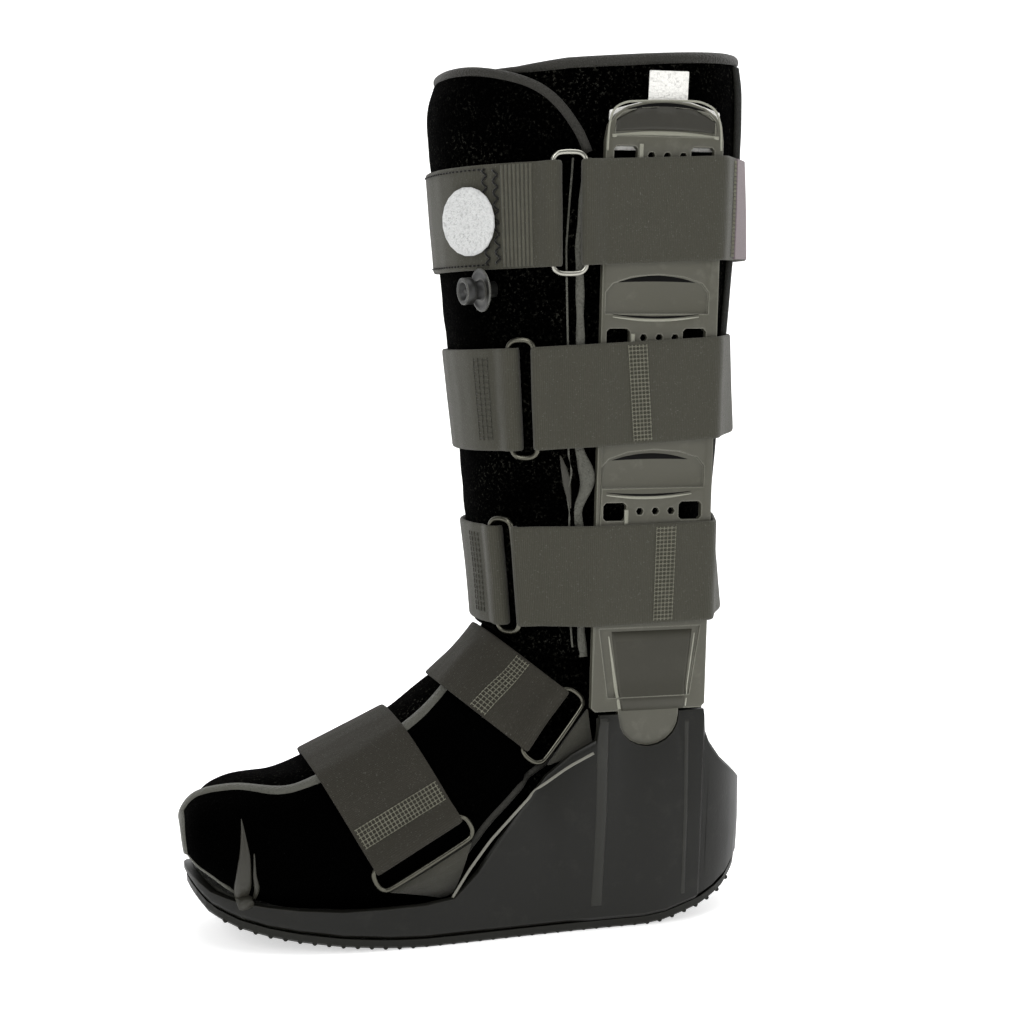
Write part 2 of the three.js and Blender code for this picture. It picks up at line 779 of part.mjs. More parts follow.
// Foot flap: wraps the near side of the foot from the tray to an edge on the instep
const flapTop = [[0, 0.25], [1, 0.32], [2, 0.42], [3, 0.72], [4, 0.72], [5, 0.5], [6, 0.34], [7, 0.3]];
{
  const rows = spread(0.45, 6.6, 13);
  const cols = 7;
  const outer = [];
  const inner = [];
  rows.forEach((v, r) => {
    const from = lookup(flapTop, v);
    const to = 2.62 - 0.12 * Math.max(v - 4, 0) - 0.2 * Math.max(1.5 - v, 0);
    const outerRow = [];
    const innerRow = [];
    for (let c = 0; c <= cols; c += 1) {
      const a = from + ((to - from) * c) / cols;
      const edge = c === 0 || c === cols || r === 0 || r === rows.length - 1;
      outerRow.push(lifted(v, a, panelGap + (edge ? panelWall * 0.7 : panelWall * 0.85)));
      innerRow.push(lifted(v, a, panelGap));
    }
    outer.push(outerRow);
    inner.push(innerRow);
  });
  add('foot_flap', sheet(outer, inner), materials.pile);
}

// Straps

// Triangle soup of the bodies a strap lies on
function soup(names) {
  const triangles = [];
  for (const mesh of group.children) {
    if (!names.includes(mesh.name)) continue;
    const pos = mesh.geometry.getAttribute('position');
    const index = mesh.geometry.index.array;
    for (let i = 0; i < index.length; i += 3) {
      const corner = (k) => [pos.getX(index[i + k]), pos.getY(index[i + k]), pos.getZ(index[i + k])];
      triangles.push([corner(0), corner(1), corner(2)]);
    }
  }
  return triangles;
}

// A strap lies between planes square to "up"; "along" points to the heel, near side is -Y
function strapFrame(upX, upZ) {
  const size = Math.hypot(upX, upZ);
  const up = [upX / size, upZ / size];
  const along = [up[1], -up[0]];
  return {
    level: (p) => up[0] * p[0] + up[1] * p[2],
    flat: (p) => [along[0] * p[0] + along[1] * p[2], -p[1]],
    point: (a, b, level) => [along[0] * a + up[0] * level, -b, along[1] * a + up[1] * level],
    up,
    along,
  };
}

// Taut outline round the bodies at one level, as directions in fine steps
function tautOutline(frame, triangles, level, clearance) {
  const cuts = [];
  for (const t of triangles) {
    const h = t.map((p) => frame.level(p) - level);
    for (let i = 0; i < 3; i += 1) {
      const j = (i + 1) % 3;
      if (h[i] < 0 === h[j] < 0) continue;
      const f = h[i] / (h[i] - h[j]);
      const p = t[i].map((value, k) => value + f * (t[j][k] - value));
      cuts.push(frame.flat(p));
    }
  }
  const outline = [];
  for (let k = 0; k < 180; k += 1) {
    const a = (k / 180) * Math.PI * 2;
    const ux = Math.cos(a);
    const uy = Math.sin(a);
    let best = cuts[0];
    for (const c of cuts) if (c[0] * ux + c[1] * uy > best[0] * ux + best[1] * uy) best = c;
    outline.push([best[0] + clearance * ux, best[1] + clearance * uy]);
  }
  return outline;
}

function rayReach(outline, centre, angle) {
  const ux = Math.cos(angle);
  const uy = Math.sin(angle);
  let reach = 0;
  for (let i = 0; i < outline.length; i += 1) {
    const p = outline[i];
    const q = outline[(i + 1) % outline.length];
    const px = p[0] - centre;
    const qx = q[0] - centre;
    const sp = ux * p[1] - uy * px;
    const sq = ux * q[1] - uy * qx;
    if (sp < 0 === sq < 0) continue;
    const f = sp / (sp - sq);
    const r = ux * (px + f * (qx - px)) + uy * (p[1] + f * (q[1] - p[1]));
    reach = Math.max(reach, r);
  }
  return reach;
}

// Levels across a strap's width, from its lower to its upper edge
const flatLevels = [-0.5, 0, 0.5];
const foldedLevels = [-0.5, -0.33, -0.16, 0.02, 0.19, 0.35, 0.5];

function wrap(names, upX, upZ, centreLevel, width, centre, clearance, levels = flatLevels) {
  const frame = strapFrame(upX, upZ);
  const triangles = soup(names);
  const outlines = levels.map((s) => tautOutline(frame, triangles, centreLevel + s * width, clearance));
  // the centre keeps one x at every level, or one distance along a steep strap
  const centreAt = (s) => (centre.x === undefined ? centre.along
    : (centre.x - frame.up[0] * (centreLevel + s * width)) / frame.along[0]);
  const reachAt = (s, angle) => {
    const all = outlines.map((outline, k) => rayReach(outline, centreAt(levels[k]), angle));
    const f = (s + 0.5) * (all.length - 1);
    const i = Math.min(Math.max(Math.floor(f), 0), all.length - 2);
    return all[i] + (f - i) * (all[i + 1] - all[i]);
  };
  const at = (s, angle, lift) => {
    const r = reachAt(s, angle) + lift;
    return frame.point(centreAt(s) + r * Math.cos(angle), r * Math.sin(angle), centreLevel + s * width);
  };
  return { levels, reachAt, at };
}

// Angles from one end to the other, close together only where the path bends
function bendAngles(path, from, to, tolerance = 0.1, longest = 0.42) {
  const fine = spread(from, to, Math.max(4, Math.ceil(Math.abs(to - from) / 0.02)));
  const points = fine.map((angle) => [-0.5, 0, 0.5].map((s) => path.at(s, angle, 0)));
  const chosen = [from];
  let i = 0;
  const strays = (first, last) => {
    for (let m = first + 1; m < last; m += 1) {
      for (let k = 0; k < 3; k += 1) {
        const a = new THREE.Vector3(...points[first][k]);
        const b = new THREE.Vector3(...points[last][k]);
        const p = new THREE.Vector3(...points[m][k]);
        const near = new THREE.Line3(a, b).closestPointToPoint(p, true, new THREE.Vector3());
        if (near.distanceTo(p) > tolerance) return true;
      }
    }
    return false;
  };
  while (i < fine.length - 1) {
    let j = i + 1;
    while (j + 1 < fine.length && Math.abs(fine[j + 1] - fine[i]) < longest && !strays(i, j + 1)) j += 1;
    chosen.push(fine[j]);
    i = j;
  }
  return chosen;
}

// Strap piece between two angles
function strapPiece(path, from, to, thickness = strapThickness, tolerance = 0.3) {
  const outer = [];
  const inner = [];
  for (const angle of bendAngles(path, from, to, tolerance)) {
    outer.push(path.levels.map((s) => path.at(s, angle, thickness)));
    inner.push(path.levels.map((s) => path.at(s, angle, 0)));
  }
  return sheet(outer, inner);
}

// Angle on the near side at which the strap passes a given distance along
function angleAt(path, x) {
  let low = 0.05;
  let high = Math.PI - 0.05;
  for (let k = 0; k < 40; k += 1) {
    const middle = (low + high) / 2;
    if (path.at(0, middle, 0)[0] > x) low = middle;
    else high = middle;
  }
  return (low + high) / 2;
}

// Flat wire loop with rounded corners lying on a strap path
function wireLoop(path, angle, long, short, wire, lift) {
  const origin = new THREE.Vector3(...path.at(0, angle, lift));
  const longAxis = new THREE.Vector3(...path.at(0.5, angle, lift))
    .sub(new THREE.Vector3(...path.at(-0.5, angle, lift))).normalize();
  const side = new THREE.Vector3(...path.at(0, angle - 0.06, lift))
    .sub(new THREE.Vector3(...path.at(0, angle + 0.06, lift)));
  const normal = longAxis.clone().cross(side).normalize();
  const outward = new THREE.Vector3(...path.at(0, angle, lift + 5)).sub(origin);
  if (normal.dot(outward) < 0) normal.negate();
  const shortAxis = normal.clone().cross(longAxis).normalize();
  if (shortAxis.dot(side) < 0) shortAxis.negate();
  const corner = ringCorner;
  const halfLong = long / 2 - wire;
  const halfShort = short / 2 - wire;
  const centres = [];
  const corners = [[1, 1, 0], [-1, 1, 90], [-1, -1, 180], [1, -1, 270]];
  for (const [sx, sy, start] of corners) {
    for (let k = 0; k <= 3; k += 1) {
      const a = (start + k * 30) * (Math.PI / 180);
      const x = sx * (halfLong - corner) + corner * Math.cos(a);
      const y = sy * (halfShort - corner) + corner * Math.sin(a);
      centres.push([x, y, Math.cos(a), Math.sin(a)]);
    }
  }
  const sides = 6;
  const points = [];
  const faces = [];
  centres.forEach(([x, y, ox, oy]) => {
    for (let k = 0; k < sides; k += 1) {
      const a = (k / sides) * Math.PI * 2;
      const out = wire * Math.cos(a);
      const rise = wire * Math.sin(a);
      const p = origin.clone()
        .addScaledVector(longAxis, x + ox * out)
        .addScaledVector(shortAxis, y + oy * out)
        .addScaledVector(normal, rise);
      points.push([p.x, p.y, p.z]);
    }
  });
  for (let i = 0; i < centres.length; i += 1) {
    const j = (i + 1) % centres.length;
    for (let k = 0; k < sides; k += 1) {
      const m = (k + 1) % sides;
      faces.push([i * sides + k, j * sides + k, j * sides + m]);
      faces.push([i * sides + k, j * sides + m, i * sides + m]);
    }
  }
  return solid(points, faces);
}

const calfNames = [...linerNames, 'front_panel', 'upright_near', 'upright_far'];
const calfPaths = {};
for (const strap of calfStraps) {
  const path = wrap(calfNames, -strap.rise, 1, zs(strap.z), calfStrapWidth, { x: xs(-0.06) },
    layerGap + 0.4);
  calfPaths[strap.name] = path;
  const ringAngle = angleAt(path, xs(strap.ringX));
  const reach = path.reachAt(0, ringAngle);
  const ringHalf = (strap.ring / 2 + gap) / reach;
  const farJoin = 2 * Math.PI - angleAt(path, xs(-0.2));
  add('strap_' + strap.name, strapPiece(path, ringAngle - ringHalf, farJoin - 2 * Math.PI + 0.01),
    materials.webbing);
  add('tab_' + strap.name, strapPiece(path, ringAngle + ringHalf, farJoin - 0.01), materials.webbing);
  add('ring_' + strap.name, wireLoop(path, ringAngle, calfStrapWidth + 2 * ringOverhang, strap.ring, ringWire,
    ringWire + 0.35), materials.steel);
}

// Angle on the near side at which a strap's lower edge stands a given height over the shell's rim
function angleOverRim(path, height) {
  let low = 0.6;
  let high = 2.6;
  for (let k = 0; k < 40; k += 1) {
    const middle = (low + high) / 2;
    const p = path.at(-0.5, middle, 0);
    if (p[2] - rimAt(p[0]) < height) low = middle;
    else high = middle;
  }
  return (low + high) / 2;
}

// Foot straps: from a ring on the near side over the foot to the far side, with a triangular
// webbing anchor on each side that ends at the shell's rim
function footStrap(name, path, width, ringAngle, anchorLength, anchorShare) {
  const reach = path.reachAt(0, ringAngle);
  const half = (ringShort / 2 + gap) / reach;
  const farEnd = 2 * Math.PI - (ringAngle - half);
  add('strap_' + name, strapPiece(path, ringAngle + half, farEnd, strapThickness, 0.35), materials.webbing);
  const loop = wireLoop(path, ringAngle, width + 8, ringShort, ringWire, ringWire + 0.6);
  add('ring_' + name, loop, materials.steel);
  const anchorStart = ringAngle - half;
  const anchorTip = anchorStart - anchorLength / reach;
  const anchor = (from, to) => {
    const outer = [];
    const inner = [];
    for (const angle of spread(from, to, 4)) {
      const f = (angle - from) / (to - from);
      const wide = 0.48 * (1 - f) + 0.07 * f;
      const middle = anchorShare * f;
      const shares = [middle - wide, middle, middle + wide];
      outer.push(shares.map((s) => path.at(s, angle, 2.5)));
      inner.push(shares.map((s) => path.at(s, angle, 0.7)));
    }
    return sheet(outer, inner);
  };
  add('anchor_' + name, anchor(anchorStart + 0.2 / reach, anchorTip), materials.webbing);
  add('anchor_' + name + '_far', anchor(2 * Math.PI - anchorStart + 0.6 / reach, 2 * Math.PI - anchorTip),
    materials.webbing);
}

// The ankle strap's upper edge starts from under the lower calf strap, at a fixed share of the length
const lowerStrapEdge = zs(calfStraps[2].z) - calfStrapWidth / 2;
const ankleLean = Math.hypot(0.632, 0.775);
const ankleLevel = (0.632 * xs(-0.28) + 0.775 * lowerStrapEdge) / ankleLean - ankleStrapWidth / 2;
const anklePath = wrap([...linerNames, 'front_panel', 'foot_flap'], 0.632, 0.775, ankleLevel,
  ankleStrapWidth, { along: xs(-0.361) }, 1.75, foldedLevels);
footStrap('ankle', anklePath, ankleStrapWidth, angleOverRim(anklePath, ankleRingHeight),
  ankleAnchorLength, 0.05);
const forePath = wrap([...linerNames, 'foot_flap'], 0.872, 0.49, -0.2663 * bootLength,
  forefootStrapWidth, { along: xs(-0.333) }, 1, flatLevels);
footStrap('forefoot', forePath, forefootStrapWidth, angleAt(forePath, xs(-0.396)),
  forefootAnchorLength, 0);

// Pump button and inflation valve

function turned(profile, segments, path, angle, share, lift) {
  const body = new THREE.LatheGeometry(profile.map((p) => new THREE.Vector2(p[0], p[1])), segments);
  const here = new THREE.Vector3(...path.at(share, angle, lift));
  const high = new THREE.Vector3(...path.at(0.5, angle, lift));
  const up = high.sub(new THREE.Vector3(...path.at(-0.5, angle, lift)));
  const side = new THREE.Vector3(...path.at(share, angle - 0.05, lift))
    .sub(new THREE.Vector3(...path.at(share, angle + 0.05, lift)));
  const normal = up.clone().cross(side).normalize();
  const out = new THREE.Vector3(...path.at(share, angle, lift + 5)).sub(here);
  if (normal.dot(out) < 0) normal.negate();
  body.applyQuaternion(new THREE.Quaternion().setFromUnitVectors(new THREE.Vector3(0, 1, 0), normal));
  body.translate(here.x, here.y, here.z);
  return fixWinding(body);
}

const topPath = calfPaths.top;
const buttonAngle = angleAt(topPath, xs(-0.2930));
add('pump_button', turned([
  [0, 0], [buttonRadius - buttonEdge, 0], [buttonRadius, buttonEdge],
  [buttonRadius, buttonThickness - buttonEdge],
  [buttonRadius - buttonEdge, buttonThickness], [0, buttonThickness],
], 20, topPath, buttonAngle, -0.03, strapThickness + gap), materials.button);

// The valve stands on the front panel, a set distance below the top strap's tab
const valveLevel = zs(calfStraps[0].z) - calfStrapWidth / 2 - valveBelowTab;
const valvePath = wrap([...linerNames, 'front_panel'], 0, 1, valveLevel, 2 * valveFlange, { x: xs(-0.06) },
  layerGap);
add('inflation_valve', turned([
  [0, 0], [valveFlange - 0.6, 0], [valveFlange, 0.8], [valveFlange - 0.6, 1.8], [valveNeck + 1, 2.4],
  [valveNeck, 3.2], [valveNeck, valveReach - 2.2], [valveHead, valveReach - 1.6],
  [valveHead, valveReach], [0, valveReach],
], 12, valvePath, angleAt(valvePath, xs(-0.2850)), 0, gap), materials.valve);

// Origin under the middle of the bounding box
const box = new THREE.Box3();
for (const mesh of group.children) {
  mesh.geometry.computeBoundingBox();
  box.union(mesh.geometry.boundingBox);
}
for (const mesh of group.children) {
  mesh.geometry.translate(-(box.min.x + box.max.x) / 2, -(box.min.y + box.max.y) / 2, -box.min.z);
}

export default group;
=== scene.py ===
import math
import bmesh
import bpy
import numpy as np
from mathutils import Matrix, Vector
from mathutils.bvhtree import BVHTree


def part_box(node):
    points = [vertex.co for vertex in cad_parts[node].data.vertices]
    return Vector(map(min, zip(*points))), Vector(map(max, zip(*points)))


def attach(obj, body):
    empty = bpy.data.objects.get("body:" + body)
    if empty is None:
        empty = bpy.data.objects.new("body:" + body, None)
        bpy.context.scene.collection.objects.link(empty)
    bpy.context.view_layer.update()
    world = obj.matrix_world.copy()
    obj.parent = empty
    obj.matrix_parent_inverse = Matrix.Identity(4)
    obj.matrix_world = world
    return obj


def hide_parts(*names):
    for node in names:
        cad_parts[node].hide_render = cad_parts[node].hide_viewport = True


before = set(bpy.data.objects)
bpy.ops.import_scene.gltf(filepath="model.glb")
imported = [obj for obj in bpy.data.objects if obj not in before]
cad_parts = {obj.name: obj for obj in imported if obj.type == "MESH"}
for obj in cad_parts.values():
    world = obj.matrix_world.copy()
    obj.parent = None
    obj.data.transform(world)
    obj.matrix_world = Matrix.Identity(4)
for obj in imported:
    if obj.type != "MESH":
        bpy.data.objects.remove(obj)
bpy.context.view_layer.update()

# Boot millimetres: x from the middle of the struts with the toe at -x, near side -y, z up.
# The frame's metres follow from the boxes of the shell and the near strut.
cadShares = {"behindStruts": 0.22337, "strutHeight": 0.9382, "soleLength": 291, "soleWidth": 107}
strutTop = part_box("upright_near")[1].z
shellLow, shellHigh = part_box("base_shell")
bootLength = (shellHigh.x - shellLow.x) * 1000
strutMiddle = shellHigh.x - cadShares["behindStruts"] * bootLength / 1000
bootHeight = strutTop * 1000 / cadShares["strutHeight"]
soleWidth = cadShares["soleWidth"] * bootLength / cadShares["soleLength"]


def toFrame(points):
    p = np.asarray(points, float) / 1000
    p[..., 0] += strutMiddle
    return p


def say(text):
    print("stage:", text, flush=True)


# camera first
cameraSettings = {"from": (-314.7, -961.8, 300.4), "azimuth": 15.0, "pitch": 5.3,
                  "focal": 1953, "pixels": 1024, "sensor": 36}


def makeCamera():
    data = bpy.data.cameras.new("photoCamera")
    data.sensor_width = cameraSettings["sensor"]
    data.sensor_fit = "HORIZONTAL"
    data.lens = cameraSettings["focal"] / cameraSettings["pixels"] * cameraSettings["sensor"]
    cam = bpy.data.objects.new("photoCamera", data)
    bpy.context.scene.collection.objects.link(cam)
    cam.location = Vector(toFrame(cameraSettings["from"]))
    a = math.radians(cameraSettings["azimuth"])
    p = math.radians(cameraSettings["pitch"])
    look = Vector((math.sin(a) * math.cos(p), math.cos(a) * math.cos(p), -math.sin(p)))
    cam.rotation_euler = look.to_track_quat("-Z", "Y").to_euler()
    bpy.context.scene.camera = cam
    return cam


makeCamera()
say("camera")


# node groups
def newGroup(name, inputs, outputs):
    group = bpy.data.node_groups.new(name, "ShaderNodeTree")
    for label, kind, default in inputs:
        s = group.interface.new_socket(name=label, in_out="INPUT", socket_type=kind)
        if default is not None:
            s.default_value = default
    for label, kind in outputs:
        group.interface.new_socket(name=label, in_out="OUTPUT", socket_type=kind)
    return group, group.nodes.new("NodeGroupInput"), group.nodes.new("NodeGroupOutput")


def mathNode(tree, operation, a=None, b=None, clamp=False):
    n = tree.nodes.new("ShaderNodeMath")
    n.operation = operation
    n.use_clamp = clamp
    for i, value in enumerate((a, b)):
        if isinstance(value, (int, float)):
            n.inputs[i].default_value = value
        elif value is not None:
            tree.links.new(value, n.inputs[i])
    return n.outputs[0]


def mixColour(tree, factor, a, b, blend="MIX"):
    n = tree.nodes.new("ShaderNodeMix")
    n.data_type = "RGBA"
    n.blend_type = blend
    for socket, value in ((n.inputs["Factor"], factor), (n.inputs[6], a), (n.inputs[7], b)):
        if isinstance(value, (int, float, tuple)):
            socket.default_value = value
        else:
            tree.links.new(value, socket)
    return n.outputs[2]


def rampNode(tree, source, stops):
    n = tree.nodes.new("ShaderNodeMapRange")
    n.inputs["From Min"].default_value, n.inputs["From Max"].default_value = stops[0], stops[1]
    n.inputs["To Min"].default_value, n.inputs["To Max"].default_value = stops[2], stops[3]
    tree.links.new(source, n.inputs["Value"])
    return n.outputs["Result"]


def noiseNode(tree, vector, scale, detail=3.0, rough=0.55):
    n = tree.nodes.new("ShaderNodeTexNoise")
    n.inputs["Scale"].default_value = scale
    n.inputs["Detail"].default_value = detail
    n.inputs["Roughness"].default_value = rough
    tree.links.new(vector, n.inputs["Vector"])
    return n.outputs["Fac"]


def objectVector(tree):
    return tree.nodes.new("ShaderNodeTexCoord").outputs["Object"]


# woven webbing: ribs along the strap's width, threads along it, lint and colour drift
def makeWebbingGroup():
    group, gin, gout = newGroup("webbingWeave", [
        ("Colour", "NodeSocketColor", (0.06, 0.06, 0.05, 1)), ("Lint", "NodeSocketFloat", 0.3),
        ("Thread", "NodeSocketFloat", 900.0)],
        [("Colour", "NodeSocketColor"), ("Height", "NodeSocketFloat"), ("Roughness", "NodeSocketFloat")])
    uv = group.nodes.new("ShaderNodeUVMap").outputs["UV"]
    split = group.nodes.new("ShaderNodeSeparateXYZ")
    group.links.new(uv, split.inputs[0])
    along = mathNode(group, "MULTIPLY", split.outputs["X"], gin.outputs["Thread"])
    across = mathNode(group, "MULTIPLY", split.outputs["Y"], gin.outputs["Thread"])
    ribs = mathNode(group, "ABSOLUTE", mathNode(group, "SINE", along))
    threads = mathNode(group, "ABSOLUTE", mathNode(group, "SINE",
                       mathNode(group, "MULTIPLY", across, 2.0)))
    weave = mathNode(group, "MULTIPLY", ribs, threads)
    obj = objectVector(group)
    fuzz = noiseNode(group, obj, 900, 4, 0.7)
    drift = noiseNode(group, obj, 190, 4, 0.65)
    specks = rampNode(group, noiseNode(group, obj, 1400, 2, 0.6), (0.62, 0.74, 0.0, 1.0))
    dark = mixColour(group, 0.72, gin.outputs["Colour"], (0.2, 0.2, 0.2, 1), "MULTIPLY")
    base = mixColour(group, rampNode(group, weave, (0.0, 0.8, 0.35, 1.0)), dark, gin.outputs["Colour"])
    worn = mixColour(group, 0.5, gin.outputs["Colour"], (0.6, 0.6, 0.6, 1), "MULTIPLY")
    base = mixColour(group, rampNode(group, drift, (0.38, 0.62, 0.0, 0.8)), base, worn)
    lint = mathNode(group, "MULTIPLY", specks, gin.outputs["Lint"])
    base = mixColour(group, lint, base, (0.22, 0.22, 0.2, 1))
    group.links.new(base, gout.inputs["Colour"])
    height = mathNode(group, "ADD", weave, mathNode(group, "MULTIPLY", fuzz, 0.9))
    group.links.new(height, gout.inputs["Height"])
    group.links.new(rampNode(group, fuzz, (0.3, 0.7, 0.72, 0.95)), gout.inputs["Roughness"])
    return group


# brushed loop pile: deep black with short light fibres
def makePileGroup():
    group, gin, gout = newGroup("loopPile", [
        ("Colour", "NodeSocketColor", (0.003, 0.003, 0.003, 1)),
        ("Fibre", "NodeSocketColor", (0.05, 0.05, 0.045, 1)),
        ("Amount", "NodeSocketFloat", 0.35)],
        [("Colour", "NodeSocketColor"), ("Height", "NodeSocketFloat"), ("Mask", "NodeSocketFloat")])
    obj = objectVector(group)
    loops = group.nodes.new("ShaderNodeTexVoronoi")
    loops.inputs["Scale"].default_value = 900
    group.links.new(obj, loops.inputs["Vector"])
    fibres = rampNode(group, noiseNode(group, obj, 650, 4, 0.75), (0.56, 0.68, 0.0, 1.0))
    patches = rampNode(group, noiseNode(group, obj, 28, 3, 0.6), (0.42, 0.66, 0.1, 1.0))
    mask = mathNode(group, "MULTIPLY", mathNode(group, "MULTIPLY", fibres, patches),
                    gin.outputs["Amount"], clamp=True)
    group.links.new(mixColour(group, mask, gin.outputs["Colour"], gin.outputs["Fibre"]),
                    gout.inputs["Colour"])
    height = mathNode(group, "ADD", loops.outputs["Distance"], fibres)
    group.links.new(height, gout.inputs["Height"])
    group.links.new(mask, gout.inputs["Mask"])
    return group


# moulded plastic: pebble grain, rub marks and lighter worn edges
def makeMouldedGroup():
    group, gin, gout = newGroup("mouldedGrain", [
        ("Colour", "NodeSocketColor", (0.04, 0.04, 0.035, 1)),
        ("Edge", "NodeSocketColor", (0.2, 0.2, 0.18, 1)),
        ("Wear", "NodeSocketFloat", 0.5), ("Grain", "NodeSocketFloat", 700.0)],
        [("Colour", "NodeSocketColor"), ("Height", "NodeSocketFloat"), ("Roughness", "NodeSocketFloat")])
    obj = objectVector(group)
    grain = group.nodes.new("ShaderNodeTexNoise")
    group.links.new(obj, grain.inputs["Vector"])
    group.links.new(gin.outputs["Grain"], grain.inputs["Scale"])
    grain.inputs["Detail"].default_value = 3
    cloud = noiseNode(group, obj, 16, 3, 0.55)
    rub = rampNode(group, noiseNode(group, obj, 75, 5, 0.7), (0.55, 0.75, 0.0, 1.0))
    bevel = group.nodes.new("ShaderNodeBevel")
    bevel.samples = 4
    bevel.inputs["Radius"].default_value = 0.0011
    geo = group.nodes.new("ShaderNodeNewGeometry")
    dot = group.nodes.new("ShaderNodeVectorMath")
    dot.operation = "DOT_PRODUCT"
    group.links.new(bevel.outputs["Normal"], dot.inputs[0])
    group.links.new(geo.outputs["Normal"], dot.inputs[1])
    edge = rampNode(group, dot.outputs["Value"], (0.995, 0.86, 0.0, 1.0))
    edge = mathNode(group, "MULTIPLY", mathNode(group, "MULTIPLY", edge, gin.outputs["Wear"]),
                    rampNode(group, cloud, (0.3, 0.6, 0.45, 1.0)), clamp=True)
    base = mixColour(group, rampNode(group, cloud, (0.3, 0.7, 0.0, 0.4)), gin.outputs["Colour"],
                     (0.6, 0.6, 0.6, 1), "SOFT_LIGHT")
    base = mixColour(group, mathNode(group, "MULTIPLY", rub, 0.12), base, gin.outputs["Edge"])
    base = mixColour(group, edge, base, gin.outputs["Edge"])
    group.links.new(base, gout.inputs["Colour"])
    group.links.new(grain.outputs["Fac"], gout.inputs["Height"])
    group.links.new(rampNode(group, cloud, (0.3, 0.7, 0.36, 0.5)), gout.inputs["Roughness"])
    return group


webbingGroup = makeWebbingGroup()
pileGroup = makePileGroup()
mouldedGroup = makeMouldedGroup()


# display colour to linear
def shade(colour):
    return tuple((v / 255) ** 2.2 for v in colour) + (1.0,)


def setInputs(node, values):
    for name, value in values.items():
        node.inputs[name].default_value = value


def newMaterial(name, roughness=0.5, metallic=0.0, specular=0.5, sheen=0.0):
    mat = bpy.data.materials.new(name)
    mat.use_nodes = True
    b = mat.node_tree.nodes["Principled BSDF"]
    setInputs(b, {"Roughness": roughness, "Metallic": metallic, "Specular IOR Level": specular,
                  "Sheen Weight": sheen, "Sheen Roughness": 0.45})
    return mat, mat.node_tree, b


# material whose colour, bump and perhaps roughness come from one of the groups
def groupMaterial(name, group, values, depth, strength=1.0, roughStops=None, **surface):
    mat, tree, b = newMaterial(name, **surface)
    g = tree.nodes.new("ShaderNodeGroup")
    g.node_tree = group
    setInputs(g, values)
    tree.links.new(g.outputs["Colour"], b.inputs["Base Color"])
    if "Roughness" in g.outputs:
        rough = g.outputs["Roughness"]
        if roughStops:
            rough = rampNode(tree, rough, roughStops)
        tree.links.new(rough, b.inputs["Roughness"])
    bump = tree.nodes.new("ShaderNodeBump")
    setInputs(bump, {"Strength": strength, "Distance": depth})
    tree.links.new(g.outputs["Height"], bump.inputs["Height"])
    tree.links.new(bump.outputs["Normal"], b.inputs["Normal"])
    return mat


threadPitch = 0.0009


def webbingMaterial(name, colour, lint=0.3, specular=0.25, sheen=0.15):
    values = {"Colour": shade(colour), "Lint": lint, "Thread": 3.1416 / threadPitch}
    return groupMaterial(name, webbingGroup, values, 0.00022, 0.7,
                         roughness=0.85, specular=specular, sheen=sheen)


def pileMaterial(name, colour, fibre, amount, specular=0.1, sheen=0.05, roughness=0.9):
    values = {"Colour": shade(colour), "Fibre": shade(fibre), "Amount": amount}
    return groupMaterial(name, pileGroup, values, 0.0005, 0.8,
                         roughness=roughness, specular=specular, sheen=sheen)


def mouldedMaterial(name, colour, edge, wear=0.5, grain=700.0, specular=0.5, depth=0.00006):
    values = {"Colour": shade(colour), "Edge": shade(edge), "Wear": wear, "Grain": grain}
    return groupMaterial(name, mouldedGroup, values, depth, specular=specular)


def steelMaterial(name, colour, edge):
    values = {"Colour": shade(colour), "Edge": shade(edge), "Wear": 0.2, "Grain": 300.0}
    return groupMaterial(name, mouldedGroup, values, 0.00003, roughStops=(0.36, 0.5, 0.16, 0.34),
                         roughness=0.25, metallic=1.0)


